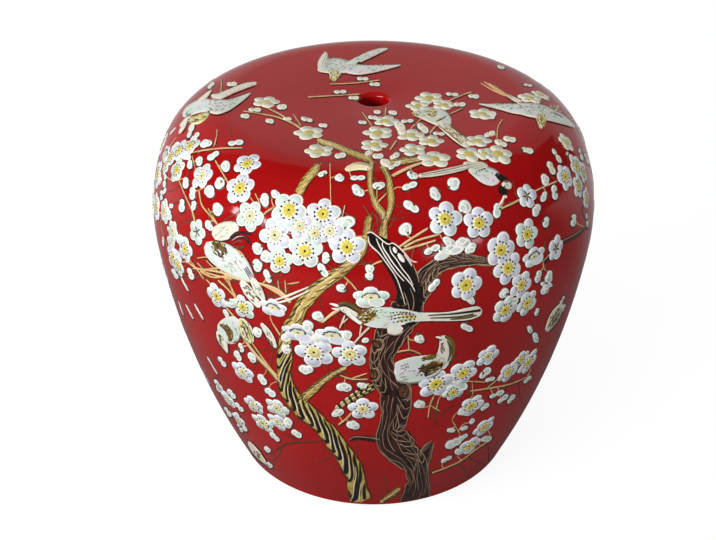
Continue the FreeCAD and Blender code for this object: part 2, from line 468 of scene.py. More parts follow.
enamelLook = {
    "tone": (130.0, 4.0),
    "tonePlaces": (0.30, 0.50, 0.72),
    "lightening": 0.7,  # of the wander, at the light end
    "drift": (75.0, 3.0),
    "driftPlaces": (0.30, 0.48, 0.66),
    "gloss": (0.06, 0.10),
    "grain": (700.0, 2.0),
    "grainDepth": 0.00006,
}


def enamelMaterial(name):
    look = enamelLook
    screen, _, roughness, wander, *second = paintLooks[name]
    colour = fromScreen(*screen)
    dark = shade(colour, 1 - wander)
    material, tree, shader = startMaterial(name)
    tone = noiseNode(tree, *look["tone"])
    if second:
        drift = noiseNode(tree, *look["drift"])
        colours = (dark, colour, fromScreen(*second[0]))
        colourBy(tree, shader, drift, look["driftPlaces"], colours)
    else:
        colours = (dark, colour, shade(colour, 1 + wander * look["lightening"]))
        colourBy(tree, shader, tone, look["tonePlaces"], colours)
    fall, rise = look["gloss"]
    roughenBy(tree, shader, tone, roughness - fall, roughness + rise)
    bumpBy(tree, shader, noiseNode(tree, *look["grain"]), look["grainDepth"])
    return material


# How motifs lie on the glaze; a brush is (lift and dome in millimetres, faces across, and the
# length of a face in photo pixels)
enamelForm = {
    "root": 0.1,  # how far a motif reaches into the glaze, in millimetres
    "narrowest": 0.25,  # width of a stroke's tip, in photo pixels
    "front": (0.0, math.pi),  # turns of the front's painting and of its copy behind
    "sides": (math.radians(100), math.radians(280)),
    "highest": 0.3405,  # motifs that reach higher than this aren't copied behind
}
paintLayers = {name: bmesh.new() for name in paintLooks}
motifTurns = list(enamelForm["front"])


def addMotif(shapes):
    # shapes maps a paint to its bmesh; the motif is added at each of the present turns
    highest = max(vert.co.z for shape in shapes.values() for vert in shape.verts)
    for paint, shape in shapes.items():
        bmesh.ops.recalc_face_normals(shape, faces=shape.faces)
        for face in shape.faces:  # tops are smooth, rims keep their crisp edge
            facing = face.normal.dot(onGlaze(face.calc_center_median())[1])
            face.smooth = facing > 0.985
        data = bpy.data.meshes.new("motif")
        shape.to_mesh(data)
        turned = 0.0
        for turn in motifTurns:
            if turn == 0.0 or highest < enamelForm["highest"]:
                data.transform(Matrix.Rotation(turn - turned, 4, "Z"))
                turned = turn
                paintLayers[paint].from_mesh(data)
        bpy.data.meshes.remove(data)
        shape.free()


def smoothPath(points, step=3.0):
    # A smooth run through (x, y, width) points in photo pixels
    if len(points) == 2:
        middle = [(a + b) / 2 for a, b in zip(*points)]
        points = [points[0], middle, points[1]]
    padded = [points[0], *points, points[-1]]
    run = []
    for before, start, end, after in zip(padded, padded[1:], padded[2:], padded[3:]):
        count = max(2, round(math.dist(start[:2], end[:2]) / step))
        for index in range(count):
            t = index / count
            run.append([
                0.5 * (2 * b + (c - a) * t + (2 * a - 5 * b + 4 * c - d) * t * t
                       + (3 * b - a - 3 * c + d) * t ** 3)
                for a, b, c, d in zip(before, start, end, after)
            ])
    run.append(list(points[-1]))
    return run


def sideways(run, index):
    # Unit step to the left of the run at this place, in photo pixels
    ahead, behind = run[min(index + 1, len(run) - 1)], run[max(index - 1, 0)]
    along = Vector((ahead[0] - behind[0], ahead[1] - behind[1]))
    along = along.normalized() if along.length > 1e-6 else Vector((1, 0))
    return Vector((along.y, -along.x))


def roundEnds(run):
    # Narrows both ends of the run to rounded tips
    lengths = [0.0]
    for first, second in zip(run, run[1:]):
        lengths.append(lengths[-1] + math.dist(first[:2], second[:2]))
    for point, length in zip(run, lengths):
        for cap, near in ((run[0][2] / 2, length), (run[-1][2] / 2, lengths[-1] - length)):
            if near < cap:
                bow = math.sqrt(max(1 - (1 - near / cap) ** 2, 0))
                point[2] = max(point[2] * bow, enamelForm["narrowest"])
    return run


def paintStroke(paint, points, lift, dome=0.02, across=2, step=3.0):
    # One raised brush stroke along (x, y, width) points in photo pixels
    narrow = min(points[0][2], points[-1][2])
    ends = max(1.0, min(step, narrow / 3))
    run = roundEnds(smoothPath(points, min(step, ends * 2)))
    shape = bmesh.new()
    bmesh.ops.create_grid(shape, x_segments=len(run) - 1, y_segments=across, size=1)
    for vert in shape.verts:
        index = round((vert.co.x + 1) / 2 * (len(run) - 1))
        place = math.sin(vert.co.y * math.pi / 2)
        x, y, width = run[index]
        offset = sideways(run, index) * (place * width / 2)
        spot = paintSpot(x + offset.x, y + offset.y)
        vert.co = onGlaze(spot, (lift + dome * (1 - place * place)) * millimetre)[0]
    bmesh.ops.solidify(shape, geom=shape.faces[:],
                       thickness=(lift + enamelForm["root"]) * millimetre)
    addMotif({paint: shape})


def shifted(points, shift, wider=0.0):
    # The points moved aside and widened, for the dark line round a shape, which moved down is also its
    # painted shadow
    return [(x + shift[0], y + shift[1], width + wider) for x, y, width in points]


def motifFrame(x, y):
    # Tangent frame at a photo pixel: place, right, up, and the size of a pixel there
    spot = seenSpot(x, y)
    normal = onGlaze(spot)[1]
    right = Vector((-normal.y, normal.x, 0))
    right = right.normalized() if right.length > 0.05 else Vector((1, 0, 0))
    pixel = (eye - spot).dot(lookBack) / cameraRig["focalPixels"]
    return spot, right, normal.cross(right), pixel


def addDrop(shapes, paint, lay, drop, level):
    # A flat-topped drop of enamel as (lift in millimetres above the level, sides, width of its
    # top); lay gives the place of each point of a round blank
    lift, sides, top = drop
    if paint not in shapes:
        shapes[paint] = bmesh.new()
    made = bmesh.ops.create_cone(shapes[paint], cap_ends=True, segments=sides,
                                 cap_tris=sides > 8,
                                 radius1=1, radius2=top, depth=1)
    for vert in made["verts"]:
        raised = level + lift if vert.co.z > 0 else -enamelForm["root"]
        vert.co = onGlaze(lay(vert.co.x, vert.co.y), raised * millimetre)[0]


def layDisc(shapes, paint, place, centre, size, turn, drop, level=0.0):
    # A drop with its centre and half sizes in metres on the tangent plane
    spot, right, up, _ = place
    turning = Matrix.Translation((centre[0], centre[1], 0)) @ Matrix.Rotation(turn, 4, "Z")
    turning @= Matrix.Diagonal((size[0], size[1], 1, 1))

    def lay(x, y):
        flat = turning @ Vector((x, y, 0))
        return spot + right * flat.x + up * flat.y
    addDrop(shapes, paint, lay, drop, level)


def layDrop(shapes, paint, middle, half, turn, drop, level=0.0):
    # A drop with its middle and half sizes in photo pixels, for small shapes seen askew
    def lay(x, y):
        along, across = x * half[0], y * half[1]
        return paintSpot(middle[0] + along * math.cos(turn) - across * math.sin(turn),
                         middle[1] + along * math.sin(turn) + across * math.cos(turn))
    addDrop(shapes, paint, lay, drop, level)


dice = random.Random(2024)  # for blossoms, buds and feathers
seatPart = {"farther": 122, "near": 166, "rightOf": 295}


def onSeat(x, y):
    # Whether a motif lies where the seat's paler, simpler blossoms are
    return y < seatPart["farther"] or (y < seatPart["near"] and x > seatPart["rightOf"])


blossomForm = {
    "scale": 1.02,
    # Shares of the blossom's width
    "petalReach": 0.288,
    "petalSize": (0.232, 0.226),
    "heart": 0.150,
    "anthers": 0.242,
    # Shares of the heart
    "sepalSize": (0.9, 0.3),
    "seatHeart": 1.45, "openHeart": 1.15, "heartBed": 1.7, "cuppedHeart": (1.7, 0.8),
    "cuppedDrop": 0.2, "rayWidth": 0.30,
    # Metres
    "edgeLine": 0.00034,
    "contourLine": 0.0011,
    # The dark outline is moved down and left of each petal, as painted shadow
    "contourShift": (-0.0001, -0.00035),
    "antherRadius": 0.00098,
    "stamenWidth": 0.00020,
    "pistil": 0.0011,
    "usualWidth": 0.028,  # anthers and pistil are smaller or larger than this one's
    "tintShare": 0.79,
    "mintShare": 0.35,
    "antherCount": 12,
    "softBelow": 330,  # blossoms lower down, left of softLeft, have paler hearts
    "softLeft": 400,
    # A cupped blossom is seen from the side
    "cupped": 0.66,
    "cuppedTurns": (0.35, 1.57, 2.79, 4.05, 5.37),
    "cuppedSizes": (1.0, 0.95, 1.0, 1.15, 1.15),
    "levels": (0.24, 0.31, 0.24, 0.31, 0.38),
}
heartPaints = {"open": "heartYellow", "cupped": "heartPale", "pale": "heartPale",
               "back": "leafGreen", "seat": "seatHeart"}


def around(angle, reach):
    return math.cos(angle) * reach, math.sin(angle) * reach


def placePetals(width, turn, cupped):
    # The five petals as (centre, half sizes, direction)
    form = blossomForm
    petals = []
    for index in range(5):
        angle = turn + index * math.tau / 5 + dice.uniform(-0.07, 0.07)
        reach = form["petalReach"] * width * dice.uniform(0.95, 1.05)
        size = [share * width * dice.uniform(0.92, 1.08) for share in form["petalSize"]]
        if cupped:
            angle = form["cuppedTurns"][index] + dice.uniform(-0.05, 0.05)
            size = [part * form["cuppedSizes"][index] for part in size]
            reach *= 0.85 if index > 2 else 1.0
        petals.append((around(angle, reach), size, angle))
    return petals


def layStamens(shapes, place, width, heart, paint, kind):
    # Anthers in a ring, each at the end of a ray of the heart's paint with a thin stamen on it
    form = blossomForm
    first = dice.uniform(0, math.tau)
    for index in range(form["antherCount"]):
        share = index * math.tau / form["antherCount"]
        angle = first + share + dice.uniform(-0.08, 0.08)
        if kind == "cupped":
            angle = math.pi * (index + 0.5) / form["antherCount"]
        reach = form["anthers"] * width * dice.uniform(0.88, 1.08)
        half = reach * 0.47
        if kind != "cupped":
            at, thin = around(angle, half), (half * 0.55, form["stamenWidth"])
            ray = (half, heart * form["rayWidth"])
            layDisc(shapes, paint, place, at, ray, angle, (0.48, 6, 0.85))
            layDisc(shapes, "stamenOchre", place, at, thin, angle, (0.51, 4, 0.6))
        dot = form["antherRadius"] * dice.uniform(0.8, 1.15)
        dot *= (width / form["usualWidth"]) ** 0.5
        if kind == "pale":
            dot *= 0.7
        at = around(angle, reach)
        layDisc(shapes, "antherBrown", place, at, (dot, dot), angle, (0.55, 6, 0.9))


def paintBlossom(x, y, widthPixels, turnDegrees=None, kind="open"):
    # turnDegrees is the direction of one petal on screen, clockwise from the right
    form = blossomForm
    place = motifFrame(x, y)
    if kind == "cupped":
        place = (place[0], place[1], place[2] * form["cupped"], place[3])
    width = widthPixels * form["scale"] * place[3]
    turn = dice.uniform(0, math.tau) if turnDegrees is None else -math.radians(turnDegrees)
    nudge = dice.uniform(-0.012, 0.012)
    tintPaint = "petalMint" if dice.random() < form["mintShare"] else "petalTint"
    edgePaint, rimPaint, heartPaint = "petalEdge", "petalRim", heartPaints[kind]
    if kind == "seat":
        edgePaint, rimPaint, tintPaint = "seatEdge", "seatRim", "seatTint"
    shapes = {}
    petals = placePetals(width, turn, kind == "cupped")
    for (centre, size, angle), level in zip(petals, form["levels"]):
        # Dark outline moved low: outline and painted shadow
        behind = [middle + shift for middle, shift in zip(centre, form["contourShift"])]
        dark = [part + form["contourLine"] for part in size]
        layDisc(shapes, "outlineAndShadow", place, behind, dark, angle, (0.09, 12, 0.82), nudge)
        grey = [part + form["edgeLine"] for part in size]
        tint = [part * form["tintShare"] for part in size]
        level += nudge
        layDisc(shapes, edgePaint, place, centre, grey, angle, (-0.025, 16, 0.82), level)
        layDisc(shapes, rimPaint, place, centre, size, angle, (0.0, 16, 0.92), level)
        layDisc(shapes, tintPaint, place, centre, tint, angle, (0.03, 12, 0.94), level)
    heart = form["heart"] * width * dice.uniform(0.94, 1.06)
    middle = (0.0, 0.0)
    if kind == "back":
        sepal = [heart * share for share in form["sepalSize"]]
        for index in range(5):
            angle = turn + (index + 0.5) * math.tau / 5
            at = [part * heart * 0.9 for part in around(angle, 1.0)]
            layDisc(shapes, heartPaint, place, at, sepal, angle, (0.44, 6, 0.82))
    elif kind == "seat":
        size = (heart * form["seatHeart"],) * 2
        layDisc(shapes, heartPaint, place, middle, size, 0, (0.42, 12, 0.8))
    else:
        if kind == "open" and y > form["softBelow"] and x < form["softLeft"]:
            heartPaint = "heartSoft"
        at, size = middle, (heart * form["openHeart"],) * 2
        if kind == "cupped":
            at = (0.0, heart * form["cuppedDrop"])
            size = [heart * share for share in form["cuppedHeart"]]
        else:
            bed = (heart * form["heartBed"],) * 2
            layDisc(shapes, "petalRim", place, at, bed, 0, (0.42, 14, 0.92))
        layDisc(shapes, heartPaint, place, at, size, 0, (0.47, 12, 0.92))
        layStamens(shapes, place, width, heart, heartPaint, kind)
        pistil = form["pistil"] * (width / form["usualWidth"])
        layDisc(shapes, "antherBrown", place, at, (pistil * 1.3, pistil), turn, (0.57, 6, 0.8))
    addMotif(shapes)


# Buds and fallen petals; lengths in photo pixels, levels and lifts in millimetres
budForm = {
    "outlineAndShadow": 0.95,
    "edge": 0.35,
    "tint": 0.56,
    "apart": 0.32,  # of the gap between the outer lobes, each way
    "stretch": 0.38,  # how far a long gap draws the lobes out
    "thirdFrom": 6.0,  # a bud wider than this has a third lobe
    "thirdReach": 0.24,
    "calyx": (1.9, 1.3),
    "level": 0.27,
    "levelStep": 0.025,  # each lobe lies this much higher than the one before
}


def budLobes(x, y, width, endX, endY, endWidth):
    # Two or three lobes as (x, y, width), their direction, and how far they are drawn out
    form = budForm
    gap = Vector((endX - x, endY - y))
    turn = math.atan2(gap.y, gap.x)
    across = Vector((-math.sin(turn), math.cos(turn)))
    middle, girth = Vector(((x + endX) / 2, (y + endY) / 2)), (width + endWidth) / 2
    lobes = []
    for side, size in ((-1, width), (1, endWidth)):
        spot = middle + gap * (side * form["apart"]) + across * dice.uniform(-0.3, 0.3)
        lobes.append((spot.x, spot.y, size))
    if gap.length < girth and girth > form["thirdFrom"]:
        spot = middle + across * (dice.choice((-1, 1)) * form["thirdReach"] * girth)
        lobes.append((spot.x, spot.y, girth * 0.78))
    return lobes, turn, 1 + form["stretch"] * gap.length / girth


def paintBud(x, y, width, endX, endY, endWidth, calyx=None):
    # A bud or a fallen petal, from the places and widths of its outer lobes
    form = budForm
    lobes, turn, stretch = budLobes(x, y, width, endX, endY, endWidth)
    rim, tints = "petalRim", ("petalMint", "budMint", "budMint")
    if onSeat(x, y):
        rim, tints = "seatRim", ("seatTint",) * 3
    shapes = {}
    nudge = dice.uniform(-0.015, 0.015)
    for px, py, size in lobes:
        # The dark outline is moved down and right of each lobe, as painted shadow
        at, half = (px + 0.2, py + 0.4), size / 2 + form["outlineAndShadow"]
        layDrop(shapes, "outlineAndShadow", at, (half * stretch, half), turn, (0.10, 12, 0.86), nudge)
    for step, (px, py, size) in enumerate(lobes):
        at, half = (px, py), size / 2
        level = form["level"] + nudge + step * form["levelStep"]
        edge = (half * stretch + form["edge"], half + form["edge"])
        tint = (half * form["tint"] * stretch, half * form["tint"])
        layDrop(shapes, "petalEdge", at, edge, turn, (-0.02, 12, 0.86), level)
        layDrop(shapes, rim, at, (half * stretch, half), turn, (0.0, 14, 0.9), level)
        layDrop(shapes, tints[step], at, tint, turn, (0.02, 10, 0.94), level)
    if calyx:
        turn = dice.uniform(0, math.pi)
        layDrop(shapes, "leafGreen", calyx, form["calyx"], turn, (0.38, 8, 0.86))
    addMotif(shapes)


# Blossoms as (x, y, width, direction of one petal in degrees) in photo pixels
openBlossoms = [
    (190, 146, 25, 20), (177, 170, 25, 90), (171, 157, 22, -60), (240, 188, 33, -38),
    (247, 164, 29, -18), (289, 210, 38, 0), (323, 214, 34, -90), (185, 249, 26, 60),
    (178, 265, 24, -70), (217, 296, 28, -110), (243, 307, 28, -100), (280, 261, 28, -95),
    (305, 251, 36, -90), (347, 247, 37, -90), (309, 133, 30, 180), (319, 151, 30, 180),
    (378, 133, 30, 180), (374, 145, 28, 0), (386, 121, 25, 0), (410, 135, 28, 0), (413, 150, 27, 180),
    (431, 141, 26, 0), (434, 159, 33, -90), (429, 98, 28, 180), (418, 106, 24, 180), (444, 105, 23, 0),
    (478, 141, 27, 0), (469, 154, 27, 180), (498, 154, 30, 20), (482, 114, 26, 0), (530, 98, 24, 0),
    (541, 95, 20, 0), (566, 142, 22, 90), (576, 166, 25, -90), (583, 172, 22, -90), (565, 177, 27, -90),
    (578, 186, 24, 90), (586, 198, 22, 90), (445, 219, 35, 3), (479, 223, 33, -80), (527, 234, 31, -62),
    (501, 250, 35, 5), (508, 268, 35, -38), (521, 285, 29, -58), (527, 303, 29, -45),
    (505, 310, 31, 150), (466, 285, 35, 150), (314, 352, 40, 28), (350, 354, 36, 44),
    (363, 409, 31, -20), (436, 384, 38, 60), (463, 373, 33, -60), (453, 392, 24, 100),
    (471, 406, 30, -60), (508, 372, 27, -60), (528, 362, 29, -60), (521, 359, 22, 120),
    (469, 446, 28, 0), (484, 427, 27, -50), (243, 372, 28, 60), (254, 405, 25, 190),
    (263, 423, 27, 200),
]
# Blossoms with pale hearts and small anthers; those at x 250 to 330, y 216 to 235 lie in the lamp's
# highlight, and there the paled heart is painted highlight
paleAndHighlightBlossoms = [
    (202, 176, 28, 40), (250, 216, 32, 0), (300, 226, 28, 30), (315, 233, 26, 0), (330, 231, 28, 60),
    (275, 235, 35, 20), (266, 102, 27, 0), (484, 154, 20, 0), (166, 166, 18, 0), (173, 231, 23, 0),
    (171, 243, 19, 40), (277, 408, 27, 0), (278, 422, 25, 0), (228, 399, 23, 50), (239, 420, 21, 50),
    (219, 386, 16, 50), (488, 356, 27, 0),
]
cuppedBlossoms = [(273, 308, 31), (371, 298, 36), (534, 257, 32), (332, 336, 36), (298, 333, 36)]
backBlossoms = [(197, 232, 26, -85), (527, 196, 25, -60), (556, 248, 26, 0)]

# Buds and fallen petals as (x, y, width) of both outer lobes, some with the place of a calyx
buds = [
    (203, 144.5, 7, 209, 143, 7), (230, 143.5, 5, 241, 142.5, 5.5), (210, 157.5, 6.5, 217, 153.5, 5.5),
    (226, 164.5, 8.5, 226, 168, 8.5), (200, 159, 6, 199, 163, 6.5), (190, 162, 5, 190, 166.5, 5.5),
    (186, 179.5, 5.5, 186, 185.5, 6.5), (192.5, 189.5, 6, 192.5, 197, 6), (194, 203, 5, 193.5, 208, 5),
    (182, 201, 5, 182, 209, 6.5), (220, 181, 8.5, 219, 185, 9, (221.5, 181.5)),
    (210, 189.5, 9.5, 210, 193.5, 9.5), (217, 207, 9.5, 218, 211.5, 9.5, (213, 214)),
    (169, 211, 3.5, 169.5, 218, 4.5), (165.5, 175, 2.5, 164.5, 186, 3),
    (161.5, 191, 2.5, 161.5, 199, 2.5), (163, 203, 2, 163, 210, 2.5), (188.5, 136, 4, 193, 127, 3.5),
    (193, 139.5, 5, 198, 134, 4), (182.5, 129, 2.5, 186, 122, 2.5), (174, 149, 6, 178, 144, 5),
    (184, 155, 9, 188, 157, 7), (189, 270, 5, 192, 277, 5.5), (173, 270.5, 4, 177, 277, 4),
    (208, 223, 6.5, 210.5, 228, 6, (212, 223)), (179, 238, 8, 184, 241, 8), (174, 252, 8, 177, 258, 8),
    (265, 197, 8.5, 265.5, 203, 8), (274.5, 193, 7.5, 277, 195.5, 7, (271, 197)),
    (256.5, 247, 9.5, 258, 250.5, 9.5, (262, 246)), (266, 255, 10, 267, 258, 10),
    (256.5, 263, 8.5, 258, 268, 8.5, (253, 264)), (266, 272.5, 6.5, 269, 280, 6.5, (271, 278)),
    (326, 255.5, 7.5, 325.5, 260.5, 7, (330, 258)), (320.5, 267, 8, 325.5, 274, 7, (321, 271)),
    (340.5, 223, 12.5, 349.5, 221.5, 12.5, (345, 228)), (229, 303, 8, 233, 304, 8, (228.5, 300.5)),
    (225, 311, 4.5, 227, 315, 4.5), (316, 316, 9, 320, 317, 8.5),
    (340, 288, 8, 343, 289, 7, (345, 289)), (355.5, 188, 8.5, 360.5, 193, 8.5, (361.5, 188)),
    (375.5, 186, 7, 382, 185, 7, (377.5, 188)), (405, 188, 6.5, 414.5, 184.5, 6.5, (408.5, 191)),
    (407.5, 204, 9, 415.5, 209.5, 8, (414, 205)), (404, 230, 11.5, 406.5, 228, 11.5, (408, 233)),
    (433.5, 191, 9, 437, 196.5, 9, (439.5, 191)), (369, 268, 8, 370, 270, 8),
    (368.5, 275.5, 7, 370, 277, 7, (366, 279)), (250, 109.5, 4, 259, 110, 4.5),
    (242.5, 116, 4.5, 247, 116, 5), (279.5, 107, 5.5, 284.5, 107, 5.5),
    (267.5, 120.5, 4.5, 271.5, 121.5, 5), (284.5, 118.5, 3.5, 290, 119, 3.5),
    (303, 118.5, 4.5, 311, 120.5, 4), (320.5, 125, 4, 325.5, 126, 4),
    (337, 156, 5.5, 343.5, 155.5, 5.5), (320.5, 174.5, 5.5, 325, 173, 5, (325, 175)),
    (337.5, 178, 6.5, 341, 178, 7), (335.5, 92, 3.5, 345, 92, 3.5), (350, 98, 3.5, 357, 98, 4),
    (375.5, 112, 4, 379, 112.5, 4), (390.5, 112.5, 4.5, 395, 113, 4.5), (370, 117, 4, 376, 118, 4),
    (360, 122, 3.5, 365, 122.5, 3.5), (397.5, 124.5, 8, 402, 131, 9),
    (402.5, 121.5, 3.5, 412, 121, 3.5), (420, 126, 7, 425.5, 130.5, 7, (416, 129)),
    (434.5, 133.5, 3.5, 443, 134, 3.5), (375, 156, 5.5, 381, 156, 5.5), (392, 157.5, 5, 397, 155, 6),
    (384, 162, 8, 388, 165, 6), (390, 168, 4, 399, 163, 4.5), (370, 152, 5, 367, 154, 5),
    (352.5, 178, 5, 363, 177.5, 5), (410, 174, 7, 415, 176, 7, (411, 173)),
    (358.5, 78.5, 3.5, 367, 79, 3.5), (371, 84, 3.5, 378, 84.5, 4), (447.5, 94, 3.5, 457, 94.5, 3.5),
    (470, 96, 4, 477, 96.5, 4.5), (455.5, 104.5, 4, 463.5, 104.5, 4.5), (486.5, 135, 5, 493, 133, 5),
    (497, 142, 6, 505, 145, 5), (506, 138.5, 6, 513.5, 140, 5.5),
    (523.5, 149, 5, 530.5, 151.5, 6, (522, 150)), (490, 113, 5, 494, 114, 5),
    (489, 117.5, 4, 493, 117.5, 4), (553, 150, 3.5, 559.5, 161, 4.5), (549, 164, 6, 553, 172, 6),
    (543.5, 177, 7, 545.5, 182.5, 7.5), (554, 187.5, 6, 555, 197, 6, (556, 192)),
    (545, 193.5, 5, 542.5, 199, 6), (537.5, 207, 7, 535.5, 213.5, 7),
    (546.5, 219, 5.5, 545.5, 224.5, 6.5, (543, 221)), (574, 216, 4.5, 573, 224, 5.5, (571, 219)),
    (567, 153, 2.5, 567, 154, 2.5), (579, 149, 2, 582, 159, 3), (585, 154, 2.5, 588, 163, 3),
    (586.5, 214, 1.8, 587, 226, 2), (539, 272.5, 5.5, 537, 280, 6), (550, 273, 6, 548, 280, 8),
    (542, 284, 4.5, 550, 285, 5, (546, 283)), (546, 287, 7, 543, 292, 6),
    (505, 291.5, 8, 502.5, 295, 7.5, (507, 294)), (537.5, 309.5, 3.5, 535.5, 314, 4),
    (564, 296.5, 2, 560.5, 303, 2.5), (565, 305, 2, 562, 310.5, 2.5), (511, 305, 6, 516, 300, 6),
    (529, 328, 5, 530, 331, 5), (535, 335, 6, 536, 340, 6), (437, 281.5, 7, 431, 288.5, 7.5),
    (468.5, 299, 6.5, 472, 301.5, 6.5, (474, 297)), (463.5, 326, 6.5, 470, 328.5, 6.5, (467, 323)),
    (464.5, 205.5, 12, 466, 208, 12, (462, 213)), (452.5, 183, 11.5, 454, 185, 11.5, (449, 187)),
    (497, 206, 7, 496.5, 214, 8.5, (500, 209)), (418, 338.5, 8, 421, 339.5, 7.5, (418, 334)),
    (417, 405, 7, 421.5, 404, 8), (364, 340.5, 5, 366.5, 340, 5),
    (285, 348, 8.5, 287, 350, 8.5, (290.5, 347)), (302.5, 368.5, 8.5, 309.5, 369.5, 8.5),
    (340, 387, 8.5, 348, 388, 8.5), (359.5, 384.5, 5.5, 364.5, 385.5, 5.5),
    (334.5, 414, 6.5, 340.5, 412, 7.5), (350, 424.5, 8, 356, 426, 8), (285, 337, 9, 288, 336, 8),
    (316, 338, 10, 320, 338, 10), (307, 325, 10, 309, 326, 10), (346, 335, 10, 346.5, 336, 10),
    (219.5, 358, 4, 225, 365, 4), (240, 344.5, 4, 242.5, 350, 4.5, (239, 349)),
    (236.5, 353, 6, 239.5, 359, 5), (250.5, 355, 6.5, 253.5, 360, 6.5), (256.5, 330.5, 8, 258, 334, 8),
    (260.5, 376.5, 6.5, 264.5, 382, 6.5), (267.5, 390.5, 6.5, 273, 394.5, 6.5),
    (229, 391, 5, 234, 397, 4.5), (236, 404, 4, 242, 410, 4), (215, 380, 2.5, 219, 390, 3.5),
    (225, 408, 3, 230, 415, 4), (236, 413, 3, 243, 423, 3.5), (240, 422, 3.5, 246, 430, 3.5),
    (238, 424, 2, 242, 431, 2.5), (294, 432, 6, 299, 435.5, 6), (272, 434, 5, 278, 440, 4),
    (266, 448, 4.5, 268.5, 450.5, 4.5), (268, 463.5, 4, 271, 466, 4), (287, 421, 8, 289, 425, 7),
    (427, 252, 7, 437, 247, 7, (433, 252)), (438, 257, 9, 460, 249, 9), (446, 240, 8, 452, 243, 8),
    (459, 244, 10, 466, 243, 11), (468, 250, 8, 473, 246, 8), (441, 251, 6, 452, 247, 7, (441, 249)),
    (481.5, 376, 6, 488, 370, 7, (483, 373)), (487, 380.5, 4, 493, 378, 4),
    (525, 382, 3.5, 530, 377, 3.5), (491, 397, 4, 502, 392, 5), (499, 402, 4, 506, 396, 5),
    (508, 402, 3.5, 513, 396, 4.5), (482, 409, 4, 487, 405, 5), (452, 384, 9, 463, 386, 10),
    (474, 441, 5, 489, 438, 6), (449, 445, 9, 458, 441, 8), (460, 439, 5, 466, 435, 4),
    (457, 452, 6, 464, 449, 7), (442.5, 461, 4, 450, 457, 4), (449, 430.5, 4.5, 453, 430, 4.5),
    (462, 429, 4, 466, 427.5, 4), (471, 422, 4.5, 472.5, 420, 4.5), (462, 411, 8, 466, 412, 8),
    (229, 84, 4.5, 235, 84, 4.5), (209, 87, 3.6, 213, 84, 3.6), (499, 66.5, 3.6, 503, 67.5, 3.6),
    (525, 85, 2.5, 531, 85.5, 2.5),
]

# Strokes as lists of (x, y, width) in photo pixels
maroonTrunk = [(415, 505, 30), (417, 490, 26), (418, 478, 21), (417, 468, 22), (412, 460, 26),
    (402, 450, 32), (393, 440, 32), (390, 430, 26), (393, 420, 26), (396, 410, 27), (396, 400, 30),
    (394, 390, 31), (388, 380, 27), (383, 372, 25), (382, 360, 24), (383, 350, 26), (388, 340, 27),
    (394, 330, 31), (408, 308, 30), (412, 296, 20)]
maroonTop = [(400, 322, 24), (408, 306, 27), (410, 292, 25), (405, 277, 23), (395, 261, 21),
    (384, 248, 17), (374, 239, 10), (367, 234, 4)]
maroonLimb = [(408, 308, 24), (418, 293, 22), (429, 273, 18), (445, 262, 15), (460, 260, 13),
    (475, 260, 10), (492, 263, 5)]
maroonStub = [(420, 472, 12), (426, 452, 11), (433, 441, 4)]
oliveTrunk = [(361, 502, 20), (358, 490, 20), (356, 480, 19), (353, 470, 18.5), (347.5, 460, 18),
    (341, 450, 17.5), (333.5, 440, 16.5), (325.5, 430, 16), (315.5, 420, 16), (304, 410, 17),
    (294.5, 400, 17), (288, 390, 15), (284.5, 380, 14), (284, 370, 14), (284, 360, 15), (285, 350, 14),
    (286, 342, 11)]
oliveTop = [(284, 354, 14), (285, 340, 13), (290, 328, 14), (297, 316, 14), (303, 304, 14),
    (312, 293, 14), (325, 282, 13), (340, 272, 11), (352, 262, 9), (362, 250, 8), (366, 235, 7),
    (368, 222, 7), (371, 212, 6)]
oliveFork = [(298, 405, 11), (306, 396, 9), (315, 388, 7.5), (324, 380, 6.5), (334, 373, 5.5),
    (346, 367, 4)]
goldBranches = [
    [(372, 160, 6), (370, 175, 6), (372, 195, 6), (378, 207, 7), (384, 217, 7), (384, 240, 6)],
    [(382, 165, 6), (389, 180, 7), (391, 203, 7), (388, 215, 6), (383, 228, 7), (383, 240, 7)],
    [(298, 194, 9), (305, 182, 9), (313, 172, 9), (320, 162, 7)],
    [(372, 160, 8), (360, 156, 7), (345, 150, 7), (330, 144, 7), (315, 140, 5)],
    [(291, 302, 7), (278, 290, 5.5), (262, 284, 4.5), (245, 280, 4), (232, 277, 4), (220, 272, 3),
     (193, 268, 2)],
    [(243, 337, 4), (252, 350, 5), (262, 362, 6), (272, 372, 7), (282, 384, 8)],
    [(322, 322, 4), (333, 313, 5), (342, 308, 5)], [(385, 163, 7), (405, 161, 7), (425, 158, 6)],
    [(392, 176, 5), (410, 167, 5), (425, 162, 3)], [(400, 488, 5), (390, 495, 6), (380, 502, 4)],
    [(355, 260, 4), (345, 265, 4), (335, 271, 3)],
]
